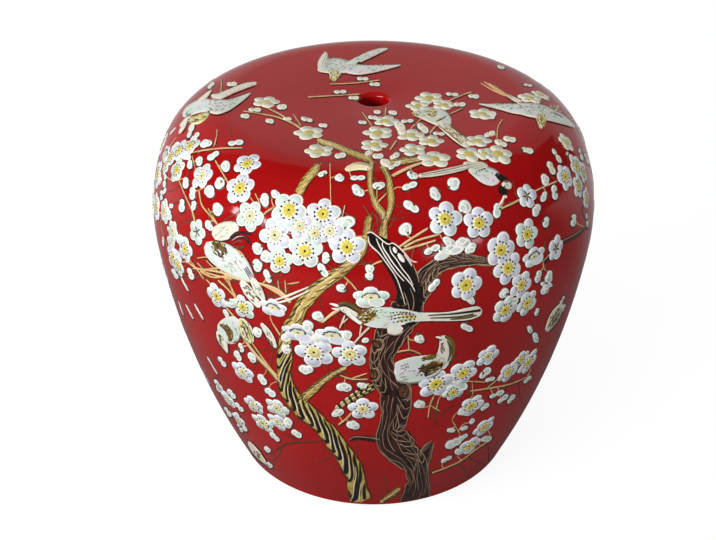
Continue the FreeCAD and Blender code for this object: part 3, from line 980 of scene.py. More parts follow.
goldTwigs = [
    [(221, 79, 1.5), (221.5, 86, 2), (220, 96, 1.5)], [(330, 163, 2), (331, 205, 2)],
    [(345, 152, 3), (300, 128, 3), (283, 116, 3), (263, 106, 2)],
    [(243, 111, 2), (262, 114, 2), (280, 118, 3), (300, 127, 3)], [(293, 114, 2), (301, 126, 2)],
    [(232, 279, 3), (215, 275, 3), (200, 270, 2)], [(238, 300, 2), (230, 285, 3), (222, 275, 2)],
    [(250, 340, 2), (262, 357, 3), (275, 375, 4)], [(338, 425, 3), (347, 418, 4), (352, 412, 3)],
    [(432, 473, 3), (450, 466, 3), (462, 460, 3), (475, 450, 3), (490, 440, 2)],
    [(434, 396, 3), (430, 405, 3), (428, 418, 2)], [(439, 398, 2), (436, 410, 2)],
    [(430, 405, 2), (440, 411, 2)], [(397, 352, 3), (410, 350, 3), (421, 354, 2)],
    [(408, 335, 2), (409, 350, 2)], [(340, 375, 2), (352, 379, 3), (368, 379, 2)],
    [(352, 378, 2), (367, 373, 2)], [(472, 382, 2), (473, 395, 2)], [(467, 381, 2), (485, 382, 2)],
    [(470, 391, 3), (490, 388, 3), (510, 384, 3), (527, 377, 2)], [(487, 388, 2), (500, 377, 2)],
    [(452, 420, 2), (460, 434, 2)], [(500, 209, 4), (515, 202, 4), (537, 190, 3), (557, 181, 3)],
    [(504, 200, 3), (500, 209, 3)], [(416, 124, 2), (423, 117, 2)],
    [(430, 133, 3), (436, 126, 3), (445, 120, 2)], [(448, 101, 2), (465, 94, 2), (472, 92, 2)],
    [(450, 114, 2), (463, 108, 2)], [(497, 139, 2), (498, 127, 2), (503, 119, 2)],
    [(214, 147, 2), (217, 135, 2), (217, 129, 2)],
    [(190, 153, 3), (205, 150, 3), (225, 148, 3), (243, 148, 2)], [(192, 155, 2), (195, 167, 2)],
    [(215, 160, 3), (222, 172, 3), (229, 184, 3)],
    [(179, 180, 2), (185, 195, 2), (192, 210, 3), (195, 222, 3)],
    [(199, 190, 3), (202, 205, 3), (210, 215, 3), (219, 226, 3)], [(208, 208, 2), (219, 226, 2)],
    [(257, 217, 3), (252, 208, 3), (244, 202, 2)], [(258, 217, 3), (256, 206, 3), (250, 197, 2)],
    [(259, 217, 3), (260, 205, 3), (255, 193, 2)], [(262, 216, 3), (267, 211, 3), (274, 207, 3)],
    [(390, 150, 3), (397, 140, 3)], [(362, 112, 2), (372, 126, 2)],
    [(335, 270, 3), (348, 280, 3), (357, 290, 3)], [(308, 97, 2), (345, 95, 2), (360, 94, 2)],
    [(330, 84, 2), (355, 83, 2), (380, 80, 2)], [(386, 107, 2), (385, 116, 2)],
    [(399, 247, 4), (412, 238, 4), (428, 228, 4)], [(404, 247, 4), (418, 240, 4), (440, 234, 3)],
    [(402, 250, 4), (420, 245, 4), (436, 240, 3)], [(560, 243, 4), (552, 252, 4), (543, 262, 3)],
    [(368, 236, 3), (355, 237, 3), (340, 240, 2)], [(391, 258, 3), (378, 262, 3), (366, 268, 2)],
    [(190, 260, 2), (197, 269, 2), (204, 279, 2)], [(197, 258, 2), (204, 257, 2), (212, 257, 2)],
    [(197, 262, 2), (204, 270, 2), (211, 277, 2)], [(206, 260, 2), (212, 266, 2), (218, 271, 2)],
    [(212, 258, 2), (217, 263, 2), (221, 268, 2)],
    [(188, 262, 3), (200, 269, 3), (222, 268, 3), (232, 274, 3), (246, 279, 3)],
    [(200, 271, 3), (213, 277, 3), (230, 276, 3), (245, 279, 3)], [(206, 279, 2), (214, 287, 2)],
    [(220, 270, 3), (228, 278, 3), (232, 290, 3), (237, 302, 2)],
    [(218, 280, 3), (228, 289, 3), (236, 298, 2)], [(262, 284, 3), (278, 293, 4), (288, 300, 3)],
    [(278, 280, 2), (279, 290, 3)], [(285, 280, 2), (286, 293, 3)], [(287, 284, 2), (300, 282, 2)],
    [(377, 190, 2), (377, 204, 2)], [(387, 193, 2), (379, 201, 3), (375, 207, 3)],
    [(272, 322, 2), (277, 330, 3), (281, 336, 3)], [(226, 307, 2), (232, 314, 3), (238, 321, 3)],
]
brownTwigs = [
    [(322, 441, 1.4), (300, 442, 2.0), (285, 444, 2.0), (270, 455, 1.2)],
    [(300, 442, 1.2), (290, 436, 1.2), (283, 433, 1.0)],
    [(282, 446, 1.4), (278, 456, 1.2), (270, 462, 1.0)],
]
plaitedBranch = [(335, 409, 3), (345, 402, 5.5), (356, 395, 8), (366, 389, 9.5), (375, 384, 9.5)]
creamBranches = [
    [(345, 170, 6), (358, 166, 10), (372, 168, 8)], [(345, 205, 0.8), (337, 240, 0.8)],
]
darkTwigs = [
    [(380, 440, 6), (370, 438, 5), (355, 437, 4), (349, 440, 2)],
    [(543, 262, 4), (552, 252, 5), (560, 243, 5), (575, 235, 4), (588, 224, 2)],
]
limbLinesAndHighlights = [  # pale lines on the dark trunk's top, part grain and part painted highlight, with two spots of painted highlight, by paint
    ("birdRim", [(367, 233, 0.8), (371, 232, 1.2), (376, 235, 1.2), (382, 240, 1.2), (388, 244, 1.2),
     (393, 243, 1.1), (399, 247, 1.1), (405, 253, 1.0), (411, 260, 0.9), (417, 262, 0.6)],
     [(368, 236, 0.8), (370, 244, 1.2), (379, 253, 1.2), (388, 265, 1.1), (396, 277, 1.0),
     (401, 290, 0.9), (405, 304, 0.6)]),
    ("petalRim", [(376, 238, 0.7), (380, 247, 1.2), (387, 259, 1.2), (396, 272, 1.0), (404, 281, 0.6)],
     [(383, 241, 0.6), (382.5, 246, 1.1), (388, 255, 1.2), (394, 264, 1.2), (403, 275, 1.0),
     (411, 284, 0.9), (415, 291, 0.6)],
     [(390, 246, 0.6), (391, 252, 1.0), (397, 260, 1.0), (402, 268, 1.0), (409, 277, 0.8),
     (413, 285, 0.6)],
     # Two short broad spots of painted highlight
     [(393.5, 246.5, 2.4), (395, 250, 4.0), (396.5, 253, 2.0)],
     [(398, 253, 2.2), (401, 257.5, 4.8), (404.5, 262, 2.6)]),
    ("featherRose", [(404, 254, 1.2), (409, 260, 2.6), (412, 266, 1.4)]),
    ("barkLine", [(413, 264, 0.6), (417, 274, 0.9), (419, 282, 0.6)],
     [(404, 292, 0.5), (408, 303, 0.7), (410, 314, 0.5)],
     [(410, 288, 0.5), (414, 300, 0.7), (412, 312, 0.5)]),
]
knots = [(404, 391, 4.6, 6.5), (377, 344, 4.4, 4.0), (374, 374, 3.6, 4.6)]  # with half sizes

# Each bark has a dark outline, set low so that it is also painted shadow; lines that flow along it
# (grain, and in golden bark a cream painted highlight) as (paint, lines, width, lift, spread across);
# marks over it as (spacing, paint, lift, first and last share of the run, steps along, across and
# width); and a line down each edge. A place across is -1 to 1.
barkForm = {
    "zebra": {
        "outline": 2.0,
        "flow": [],
        "marks": (
            (14.5, "barkBlack", 0.18, 0, 1, [(8, 0.98, 1.4), (2, 0.92, 2.8), (0, 0.70, 4.4),
                                             (5, 0.42, 4.6), (14, 0.10, 4.4), (24, -0.28, 3.8),
                                             (33, -0.62, 2.8), (41, -0.92, 1.0)]),
            (14.5, "barkCream", 0.20, 0, 1, [(6, 0.80, 0.8), (9, 0.56, 1.4), (17, 0.22, 1.4),
                                             (26, -0.14, 1.0), (34, -0.46, 0.5)]),
        ),
        "edge": ("birdBrown", 0.7),
    },
    "grain": {
        "outline": 1.6,
        "flow": [("barkBlack", 5, 2.2, 0.18, (-0.72, 0.72)),
                 ("barkLine", 7, 0.45, 0.20, (-0.88, 0.84))],
        "marks": (
            (8.0, "barkBlack", 0.19, 0.15, 0.52, [(0, -0.98, 1.6), (-3, -0.68, 2.2),
                                                  (1, -0.36, 2.0), (8, -0.08, 1.2)]),
            (8.0, "barkLine", 0.21, 0.15, 0.52, [(3.5, -0.96, 0.5), (0.5, -0.66, 0.7),
                                                 (4.5, -0.34, 0.7), (11, -0.06, 0.5)]),
            (8.5, "barkBlack", 0.19, 0.52, 1, [(0, 0.98, 2.0), (-4, 0.68, 2.8),
                                               (1, 0.36, 2.6), (9, 0.10, 1.4)]),
            (8.5, "barkLine", 0.21, 0.52, 1, [(4.0, 0.96, 0.5), (0.5, 0.66, 0.7),
                                              (5.0, 0.34, 0.7), (12, 0.10, 0.5)]),
        ),
        "edge": ("barkLine", 0.55),
    },
    "golden": {
        "outline": 1.4,
        # The cream lines along a golden branch are painted highlight
        "flow": [("twigCream", 2, 1.1, 0.20, (-0.42, 0.22)),
                 ("knotBrown", 2, 0.8, 0.21, (0.58, -0.76))],
        "marks": (
            (15, "barkBlack", 0.22, 0, 1, [(0, 0.88, 0.7), (8, 0.66, 1.7), (15, 0.28, 0.5)]),
            (19, "knotBrown", 0.22, 0, 1, [(2, -0.28, 0.5), (10, -0.50, 1.5), (17, -0.82, 0.6)]),
        ),
        "edge": ("birdBrown", 0.6),
    },
}
trunkForm = {
    "sample": 3.0,  # photo pixels between samples of a trunk's run
    "outlineBrush": (0.06, 0.02, 4, 4.0),
    "baseBrush": (0.13, 0.02, 6, 4.0),
    "waveLength": 34.0, "waveReach": 0.10,
    "flowLength": (12, 36), "flowGap": (1, 4),  # of its pieces, in samples
    # Lines and marks are finer where the trunk is narrower than this
    "flowWidth": 18, "markWidth": 20, "markReach": 22,
    "edgeLift": 0.19,
}


def knobbly(points, lot):
    # The trunk's run with small swellings, as (x, y, width) points
    run = smoothPath(points, trunkForm["sample"])
    phases = [lot.uniform(0, math.tau) for _ in range(3)]
    for index, point in enumerate(run):
        swell = 0.05 * math.sin(index * 0.55 + phases[0]) + 0.04 * math.sin(index * 1.3 + phases[1])
        point[2] *= 1 + swell
        point[0] += 0.5 * math.sin(index * 0.8 + phases[2]) * min(point[2] / 20, 1)
    return run


def onTrunk(run, index, across):
    # A place on the trunk: along it by samples, across it from -1 to 1
    low = max(0, min(int(index), len(run) - 2))
    part = min(max(index - low, 0), 1)
    x, y, width = [a + (b - a) * part for a, b in zip(run[low], run[low + 1])]
    offset = sideways(run, low) * (across * width / 2)
    return x + offset.x, y + offset.y, width


def paintFlow(run, lot, paint, lines, width, lift, spread):
    # Broken wavy lines along the trunk
    form = trunkForm
    for line in range(lines):
        across = spread[0] + (spread[1] - spread[0]) * line / max(lines - 1, 1)
        phase, pace = lot.uniform(0, math.tau), lot.uniform(0.7, 1.3)
        start = lot.randint(0, 8)
        while start < len(run) - 5:
            length = lot.randint(*form["flowLength"])
            piece = []
            for index in range(start, min(start + length, len(run)), 2):
                turns = index * form["sample"] / form["waveLength"]
                wave = math.sin(turns * math.tau * pace + phase) * form["waveReach"]
                x, y, trunk = onTrunk(run, index, across + wave)
                swell = 0.8 + 0.4 * math.sin(index * 0.45 + phase * 2)
                piece.append((x, y, width * min(1.0, trunk / form["flowWidth"]) * swell))
            if len(piece) > 2:
                paintStroke(paint, piece, lift)
            start += length + lot.randint(*form["flowGap"])


def paintMarks(run, lot, spacing, paint, lift, first, last, mark):
    # The same mark over and over across the trunk, each a little different
    form = trunkForm
    place = lot.uniform(0, 2) + len(run) * first
    if first == 0:  # the first mark starts outside the trunk's end
        place -= mark[-1][0] / form["sample"] * 0.6
    while place < len(run) * last - 3:
        trunk = onTrunk(run, place, 0)[2]
        reach = min(1.0, trunk / form["markReach"])
        bow = lot.uniform(-0.06, 0.06)
        piece = []
        for along, across, width in mark:
            sample = place + along * reach / form["sample"]
            if 0 <= sample <= len(run) - 1:
                x, y, _ = onTrunk(run, sample, across + bow)
                width *= min(1.0, trunk / form["markWidth"])
                piece.append((x, y, width * lot.uniform(0.85, 1.15)))
        if len(piece) > 1:
            paintStroke(paint, piece, lift)
        place += spacing * reach / form["sample"] * lot.uniform(0.8, 1.25)


def paintTrunk(paint, points, style, seed):
    # Base colour with a dark outline, grain lines along it, marks across it, a line down each edge
    form, bark = trunkForm, barkForm[style]
    lot = random.Random(seed)
    run = knobbly(points, lot)
    # The dark outline is moved a little down, so that it is also painted shadow
    dark = shifted(run[::2], (0.2, 0.1), bark["outline"])
    paintStroke("outlineAndShadow", dark, *form["outlineBrush"])
    paintStroke(paint, run[::2], *form["baseBrush"])
    for flow in bark["flow"]:
        paintFlow(run, lot, *flow)
    for marks in bark["marks"]:
        paintMarks(run, lot, *marks)
    edgePaint, width = bark["edge"]
    for side in (-1, 1):
        edge = [onTrunk(run, index, side * lot.uniform(0.93, 1.04))
                for index in range(0, len(run), 2)]
        paintStroke(edgePaint, [(x, y, width) for x, y, _ in edge], form["edgeLift"])


topForm = {"outline": 1.6, "outlineBrush": (0.19, 0.02, 4, 3.0), "brush": (0.22, 0.02, 6, 3.0),
           "lineLift": 0.27}
plaitForm = {
    "brush": (0.12, 0.02, 4, 3.0),
    "rows": (-0.78, -0.30, 0.20, 0.70),
    "dashes": 7, "dashWidth": 1.7, "dashLift": 0.18,
}


def paintPlait(points):
    # A short branch with rows of pale dashes over black
    form = plaitForm
    paintStroke("birdInk", shifted(points, (0.2, 0.2), 1.0), *form["brush"])
    run = smoothPath(points, 2.0)
    for row, across in enumerate(form["rows"]):
        line = [onTrunk(run, index, across)[:2] for index in range(row % 2, len(run), 3)]
        paint = "twigCream" if row % 2 else "twigOlive"
        paintDashes(form["dashLift"], paint, form["dashes"], line, form["dashWidth"])


knotForm = {
    "outline": 1.6,
    "outlineBrush": (0.22, 0.02, 4, 2.0),
    "brush": (0.25, 0.05, 4, 2.0),
    "flecks": (("birdBrown", "barkBlack", "trunkMaroon"), 9),
    "fleckLift": 0.30,
    "arcs": ((1.30, -1.9, 1.7), (1.62, -1.2, 1.2)),  # reach, and where each starts and ends
    "arcBrush": (0.31, 0.02, 2, 2.0),
    "glintBrush": (0.33, 0.03, 2, 1.0),
}


def paintKnot(x, y, wide, high):
    # A brown swelling with light arcs of grain round it and a glint
    form, oval = knotForm, (wide * 0.8, high * 0.8)
    broad = wide * 2 + form["outline"]
    outline = [(x, y - high - 1.5, broad), (x, y + high + 1.5, broad)]
    paintStroke("barkBlack", outline, *form["outlineBrush"])
    swelling = [(x, y - high, wide * 2), (x, y, wide * 2 + 0.6), (x, y + high, wide * 2)]
    paintStroke("knotBrown", swelling, *form["brush"])
    paintMottle(form["fleckLift"], *form["flecks"], (x, y), oval, 80, 4, 1.1)
    for reach, start, end in form["arcs"]:
        arc = []
        for step in range(7 + 1):
            turn = start + (end - start) * step / 7
            arc.append((x + math.cos(turn) * wide * reach, y + math.sin(turn) * high * reach, 0.55))
        paintStroke("barkLine", arc, *form["arcBrush"])
    low = y + high * 0.3
    paintStroke("barkLine", [(x + 0.6, low, 0.9), (x + 1.6, low + 0.8, 0.9)], *form["glintBrush"])


twigForm = {
    # Paint, paint of the painted highlight line, lift, share of the width, and width of the painted
    # shadow line
    "gold": ("twigGold", "twigCream", 0.17, 0.6, 1.3),
    "fineGold": ("twigGold", "twigCream", 0.16, 0.5, 1.0),
    "cream": ("twigCream", "twigCream", 0.18, 0.8, 1.5),
    "dark": ("trunkMaroon", "barkLine", 0.16, 0.8, 1.5),
    "shadowBrush": (0.08, 0.02, 2, 5.0),
    "brush": (0.03, 2, 4.0),
    "highlightBrush": (0.02, 2, 4.0),
    "barkFrom": 6,  # golden branches as wide as this have bark
    "barkShare": 0.9,
    "barkSeed": 20,
    "brownBrush": (0.12, 0.03, 2, 5.0),
}


def paintTwig(points, style):
    # A twig with its painted shadow line below and a painted highlight line along its upper side
    form = twigForm
    paint, light, lift, share, shadow = form[style]
    thin = [(x, y, width * share) for x, y, width in points]
    paintStroke("outlineAndShadow", shifted(thin, (0.3, 0.5), shadow), *form["shadowBrush"])
    paintStroke(paint, thin, lift, *form["brush"])
    # Wider twigs get a paler line up and to the left of their middle: painted highlight
    if points[0][2] > 3.5:
        highlightLine = [(x - 0.12 * width, y - 0.16 * width, width * 0.22) for x, y, width in thin]
        paintStroke(light, highlightLine, lift + 0.03, *form["highlightBrush"])


# Each bird is a list of (paint, level, strokes); level 0 is its plumage, with a pale rim and a dark
# outline set low that is also its painted shadow, and higher levels lie on it. "fan" spreads thin
# feather lines between two edges, "dashes" breaks a line up, and "mottle" scatters short feathers
# in an oval: paints, count, centre, reach, direction, length and width.
mottled = ("birdBrown", "birdBrown", "leafGreen", "twigOlive", "birdInk")
downy = ("featherMoss", "featherRose", "featherMoss")
golden = ("twigOlive", "heartYellow", "birdBrown")
birds = {
    "perched": [
        ("birdCream", 0, [(412, 316.5, 9), (430, 316.5, 8), (450, 316, 9), (468, 313.5, 12),
         (482, 309.5, 9)],
         [(387, 328, 8), (395, 330, 11), (403, 328, 8)]),
        ("birdGrey", 0, [(356, 314, 6), (363, 316, 14), (372, 317, 19), (383, 317.3, 20.5),
         (394, 316.7, 19), (405, 316, 15.5), (415, 316, 11), (424, 316.3, 8)]),
        ("birdCream", 0, [(338, 306.5, 3), (344.5, 308, 8), (350, 311.5, 9), (356, 317, 8),
         (363, 323.5, 5)]),
        ("petalRim", 1, [(329.5, 303.4, 0.8), (334, 304.2, 2.2), (339, 306, 2.8)],
         [(331.5, 308, 0.7), (335.5, 308.6, 1.6), (340, 309.4, 2)]),
        ("birdBrown", 2, [(338, 304.4, 2.4), (344, 302.8, 3.4), (351, 304.4, 4.4), (357, 308.2, 4),
         (362, 311, 2.2)]),
        ("leafGreen", 3, [(342, 303.2, 1), (349, 303.6, 1.6), (356, 307.4, 1.2)]),
        ("birdInk", 3, [(338.5, 306.2, 0.8), (346, 305.6, 1), (353, 309, 1.1), (359, 312.4, 0.8)],
         [(339.5, 309, 0.8), (342, 312.4, 1.2), (346, 313.4, 0.8)]),
        ("petalRim", 4, [(342, 309.4, 2.4), (344, 309.4, 2.4)]),
        ("birdInk", 5, [(343, 309.4, 1.1), (343.8, 309.6, 1.1)]),
        ("petalRim", 3, [(348, 311, 1.6), (354, 317, 3.2), (361, 323, 2)]),
        ("birdBrown", 1, [(358, 318, 4), (364, 316, 9), (371, 315, 9), (376, 314, 4)]),
        ("mottle", 2, mottled, 70, (367, 315.6), (10.5, 7.2), -15, 4.4, 1.5),
        ("mottle", 3, ("birdCream", "twigCream"), 9, (367, 315), (9, 6), -15, 3, 0.7),
        ("mottle", 2, downy, 16, (384, 317), (8, 8), 0, 3.5, 0.7),
        ("twigOlive", 2, [(395, 314.6, 0.6), (404, 312.9, 1.4), (413, 313.2, 0.6)],
         [(396, 317.8, 0.6), (405, 315.8, 1.4), (416, 315, 0.6)],
         [(397, 320.8, 0.6), (406, 318.8, 1.2), (416, 317.2, 0.6)]),
        ("dashes", 3, "birdInk", 7, [(390, 312.6), (400, 311.6), (411, 312.2)], 0.9),
        ("dashes", 3, "birdInk", 7, [(391, 315.6), (402, 313.6), (415, 314)], 1.0),
        ("dashes", 3, "birdInk", 7, [(391, 318.8), (402, 317), (417, 316)], 1.0),
        ("dashes", 3, "birdInk", 6, [(393, 322), (403, 320.6), (416, 318.4)], 0.9),
        ("birdInk", 2, [(428, 315, 0.8), (455, 313.2, 1.4), (481, 309.8, 2.4)]),
        ("leafGreen", 2, [(430, 317.6, 0.8), (458, 316.6, 1.6), (474, 313.8, 1.8)]),
        ("birdBrown", 2, [(450, 319, 0.8), (466, 317.6, 1.3), (477, 314.8, 1.2)]),
        ("twigGold", 0, [(345, 314.5, 1.6), (342.5, 321, 1.6), (339.5, 328, 1.2)],
         [(348, 318, 1), (343, 322.5, 1.2)], [(361.5, 325, 1.6), (359.5, 335, 1.2)],
         [(369.5, 327, 1.8), (363, 333, 1.8), (353, 344, 1.4)]),
    ],
    "resting": [
        ("birdGrey", 0, [(394, 372, 16), (399, 371.5, 21), (407, 371, 25.5), (416, 369.8, 27),
         (425, 367.5, 25), (434, 365, 21), (442, 362, 13)]),
        ("birdCream", 0, [(438, 368, 9), (442.5, 360, 15), (444.8, 352, 14), (445, 345, 12),
         (444, 339, 9), (445, 335, 5)]),
        ("birdBrown", 2, [(444.5, 336, 2.2), (450, 338.4, 3.6), (453.4, 344.5, 4), (454.2, 351, 3.6),
         (452.4, 358, 3), (448.6, 364, 2)]),
        ("leafGreen", 3, [(447, 339.6, 1.4), (449.6, 345, 2.6), (450.4, 351, 2.8), (449.6, 356, 2),
         (447.4, 361, 1.2)]),
        ("mottle", 3, ("birdBrown", "leafGreen"), 12, (442.2, 348), (4.4, 2), 80, 3, 1.0),
        ("mottle", 2, downy, 14, (441, 359), (7, 4), 60, 3.4, 0.7),
        ("petalRim", 3, [(441.2, 341.2, 3), (443.4, 341.4, 3)]),
        ("birdInk", 4, [(442, 342.4, 1.3), (443.4, 342.6, 1.3)]),
        ("petalRim", 2, [(435.5, 336.4, 0.9), (439, 337.2, 2.4), (442.5, 338.6, 3)]),
        ("birdInk", 3, [(438, 338.8, 0.6), (442, 340, 0.8)]),
        ("birdBrown", 1, [(422, 358, 1.4), (428, 357.2, 4), (435, 356.4, 2)]),
        ("mottle", 2, ("birdBrown", "twigOlive", "leafGreen"), 26, (429, 357.2), (7.5, 2.6), -8, 4,
         1.2),
        ("birdBrown", 1, [(421, 371, 3), (428, 367.6, 8), (436, 364.6, 8), (442, 366, 3)]),
        ("mottle", 2, mottled, 80, (430.5, 367.4), (12.5, 6.4), -24, 4, 1.5),
        ("knotBrown", 3, [(427, 368, 1), (433, 365.4, 5), (439, 364.6, 1.4)]),
        ("birdCream", 4, [(424, 365, 0.8), (430, 361, 1.4), (437, 358, 0.9)]),
        ("mottle", 2, downy, 22, (411, 373), (11, 8), -10, 3.4, 0.7),
        ("dashes", 2, "leafGreen", 4, [(400.5, 366), (408.5, 363)], 0.9),
        ("dashes", 2, "leafGreen", 4, [(401, 368.6), (409.5, 366)], 0.9),
        ("dashes", 2, "birdInk", 3, [(400.5, 377), (404.5, 375.6)], 0.9),
        ("dashes", 2, "birdInk", 3, [(402, 380.6), (406, 379)], 0.9),
    ],
    "swirling": [
        ("birdCream", 0, [(241, 280, 5), (247, 289, 9), (253, 297, 9), (260, 307, 4)],
         [(252, 278, 5), (257, 287, 8), (262, 296, 6), (265, 302, 2)],
         [(212, 234, 9), (217, 233, 15), (224, 231, 18), (231, 228.5, 16), (239, 225.5, 8)]),
        ("mottle", 1, ("heartPale", "birdRim", "petalMint"), 40, (225, 230), (10, 6), -30, 5, 2.2),
        ("mottle", 2, downy, 12, (222, 232), (8, 5), -30, 3.6, 0.7),
        ("birdGrey", 0, [(206.5, 242, 6), (211, 247.5, 17), (219, 253, 24), (228, 258.5, 26),
         (238, 266, 23), (246, 273, 15), (253, 280, 6)]),
        ("petalRim", 2, [(216, 248, 1), (228, 258, 2.4), (241, 271, 1.4)]),
        ("birdBrown", 1, [(215, 243, 4), (219, 248, 8), (222, 254, 4)]),
        ("mottle", 2, mottled, 56, (219.5, 248.5), (9, 6.8), 60, 4, 1.5),
        ("mottle", 2, downy, 24, (234, 264), (13, 7), 38, 4, 0.7),
        ("trunkMaroon", 2, [(230.5, 241, 2), (235.5, 237, 3.6), (242.5, 236.4, 3.2), (248, 239.6, 2.6),
         (247.4, 244, 1.4)]),
        ("knotBrown", 2, [(232.6, 246, 1.4), (239, 247.2, 2.6), (245.4, 245.4, 1.6)]),
        ("fineTwig", 2, [(232, 243.6, 1), (238, 240.6, 1.8), (243, 241.4, 1)]),
        ("trunkMaroon", 2, [(229.6, 238, 1.2), (236, 233, 2.6), (243, 231.6, 1.2)]),
        ("barkBlack", 3, [(240, 232.6, 0.8), (247, 232.2, 2.4), (251, 235.4, 1)],
         [(244, 238.6, 0.5), (249, 241, 1.4), (251, 245, 0.5)]),
        ("featherRose", 3, [(232, 240.4, 0.4), (238, 236.6, 0.9), (244, 236, 0.4)]),
        ("twigGold", 3, [(235, 249, 1), (240.6, 252, 1.4), (245, 257, 1)]),
        ("birdInk", 2, [(249, 233, 0.8), (253.5, 228.5, 1.8), (256, 225, 1.4)]),
        ("dashes", 3, "leafGreen", 4, [(237, 248), (243, 258)], 1.1),
        ("dashes", 3, "birdInk", 4, [(240, 247), (247, 255)], 0.9),
        ("fan", 3, "birdInk", 3, (244, 269), (247, 265), (250, 280), (254, 276)),
        ("mottle", 3, ("leafGreen", "featherMoss", "birdInk"), 16, (251, 293), (10, 4), 55, 4, 0.9),
        ("mottle", 3, ("featherMoss", "featherRose"), 8, (259, 290), (8, 2.6), 60, 4, 0.8),
    ],
    "diving": [
        ("birdCream", 0, [(261, 323, 3), (267, 331, 6), (272, 340, 6.5), (276.5, 348, 2)]),
        ("heartPale", 0, [(240, 318, 5), (244, 327, 13), (248, 335, 12), (253, 343, 4)]),
        ("birdCream", 0, [(218, 330, 4), (221, 338, 8), (225, 346, 6), (228, 353, 1)]),
        ("birdGrey", 0, [(227, 316.5, 9), (228.5, 321, 20), (229.5, 329, 24), (232, 336, 21),
         (236, 343, 10)]),
        ("mottle", 2, ("birdBrown", "twigOlive", "birdBrown"), 30, (228.5, 331), (9, 3), 58, 4, 1.5),
        ("birdBrown", 1, [(219.5, 324, 2), (226, 327.4, 5), (230.5, 334, 6), (230, 341.6, 3)]),
        ("mottle", 2, downy, 14, (235, 329), (7, 5), 70, 3.6, 0.7),
        ("mottle", 3, ("leafGreen", "birdInk", "twigOlive"), 12, (222, 341), (8, 2.2), 68, 4, 0.9),
        ("mottle", 3, golden, 22, (246, 330), (10, 4.6), 62, 4.4, 1.1),
        ("fan", 4, "birdInk", 3, (241, 324), (249, 321), (248, 340), (254, 336)),
        ("fan", 4, "birdCream", 3, (241, 328), (250, 323), (247, 342), (255, 334)),
        ("mottle", 3, ("leafGreen", "featherMoss", "birdInk"), 10, (269, 336), (9, 2.4), 60, 4, 0.8),
        ("birdCream", 1, [(272, 304, 1.6), (290, 299, 2), (310, 290, 1)],
         [(274, 300, 1.4), (290, 294.5, 2), (309, 286.5, 1)]),
    ],
    "seatFlyer": [
        ("birdGrey", 0, [(348, 64, 4), (358, 60, 6.5), (370, 54.5, 6.5), (380, 50.6, 4.6),
         (388, 48.6, 1.6)],
         [(343, 68, 8), (356, 69.6, 10.5), (370, 69.4, 8), (386, 67.4, 4.5), (401, 65, 1)]),
        ("birdCream", 0, [(326, 51.5, 2.5), (324.5, 57, 7), (323, 63, 10), (320, 70, 7)]),
        ("heartPale", 0, [(335, 70, 14), (334.6, 74, 12), (334, 78, 7), (334, 82, 3)]),
        ("birdGrey", 0, [(317.5, 70.5, 3), (325, 67.5, 12), (335, 65.6, 15), (346, 66.6, 13),
         (357, 67.6, 8)]),
        ("mottle", 1, golden, 30, (334.6, 76), (5, 5), 80, 3, 1.2),
        ("mottle", 2, downy, 60, (338, 66.5), (16, 6.4), 0, 3, 1.0),
        ("mottle", 2, downy, 16, (370, 69.5), (16, 2.4), -8, 3.4, 0.8),
        ("mottle", 2, downy, 12, (367, 56), (14, 2), -24, 3.4, 0.8),
        ("dashes", 2, "featherRose", 9, [(352, 66), (370, 65.6), (392, 65.4)], 1.0),
        ("fan", 2, "featherMoss", 3, (326, 55), (330, 56), (320, 68), (327, 68)),
        ("birdInk", 3, [(357, 63.4, 1.8), (360, 62, 1.2)]),
    ],
    "shoulderFlyer": [
        ("birdCream", 0, [(211, 95.5, 3), (219, 96.4, 6.5), (232, 91, 5.5), (246, 85.6, 5.5),
         (257, 83, 3)],
         [(195, 104, 3), (204, 97.5, 5), (212, 89.5, 1)],
         [(191, 115, 3), (185, 121, 4), (180, 127, 3)]),
        ("birdGrey", 0, [(183, 117, 5), (190, 110.5, 11), (198, 106.5, 13), (207, 105, 14),
         (213, 105, 12)],
         [(209, 106, 13), (217, 106.5, 16), (226, 105.6, 12), (235, 102, 8), (243, 97.6, 5),
         (251, 93, 1)]),
        ("birdCream", 0, [(186, 124, 2.6), (182, 129, 4), (179, 134, 2)],
         [(195, 122, 3), (191.4, 127, 4.6), (189, 132, 2)]),
        ("heartPale", 1, [(188, 120, 3), (195, 120, 9), (203, 117, 8), (209, 113, 3)]),
        ("mottle", 2, golden, 34, (198, 118.6), (9, 3.6), -18, 3, 1.2),
        ("mottle", 2, ("leafGreen", "featherMoss"), 10, (194, 121), (7, 2), -18, 3, 0.9),
        ("mottle", 2, downy, 54, (217, 106.4), (9, 6), 0, 2.6, 1.0),
        ("mottle", 2, ("petalTint", "budMint"), 20, (198, 108), (10, 5), -30, 3, 1.2),
        ("mottle", 2, downy, 14, (232, 103), (9, 3), -26, 3.4, 0.8),
        ("mottle", 2, ("leafGreen", "featherMoss"), 8, (188, 113), (4, 3), -40, 3, 0.8),
        ("dashes", 3, "birdInk", 7, [(227, 99.6), (237, 97), (246, 93.6)], 0.8),
        ("dashes", 2, "featherRose", 8, [(222, 96), (238, 89.6), (254, 84.2)], 1.0),
        ("birdInk", 2, [(188, 119, 1.2), (190, 120, 1.2)]),
    ],
    "rightFlyer": [
        ("birdCream", 0, [(505, 94, 2), (513, 98.5, 4), (522, 103, 5)]),
        ("twigGold", 1, [(480.5, 83, 0.8), (492, 89.6, 1.3), (506, 96, 1.3)],
         [(484, 81.6, 0.8), (495, 89, 1.3), (508, 96, 1.3)],
         [(488.6, 83, 0.8), (498, 90, 1.3), (510, 96.6, 1.3)]),
        ("twigOlive", 1, [(493, 85, 0.8), (501, 91, 1.2), (512, 98, 1.4)]),
        ("heartPale", 0, [(541.5, 113, 15), (541.3, 118, 12), (541, 123, 7), (541, 129, 2.6)]),
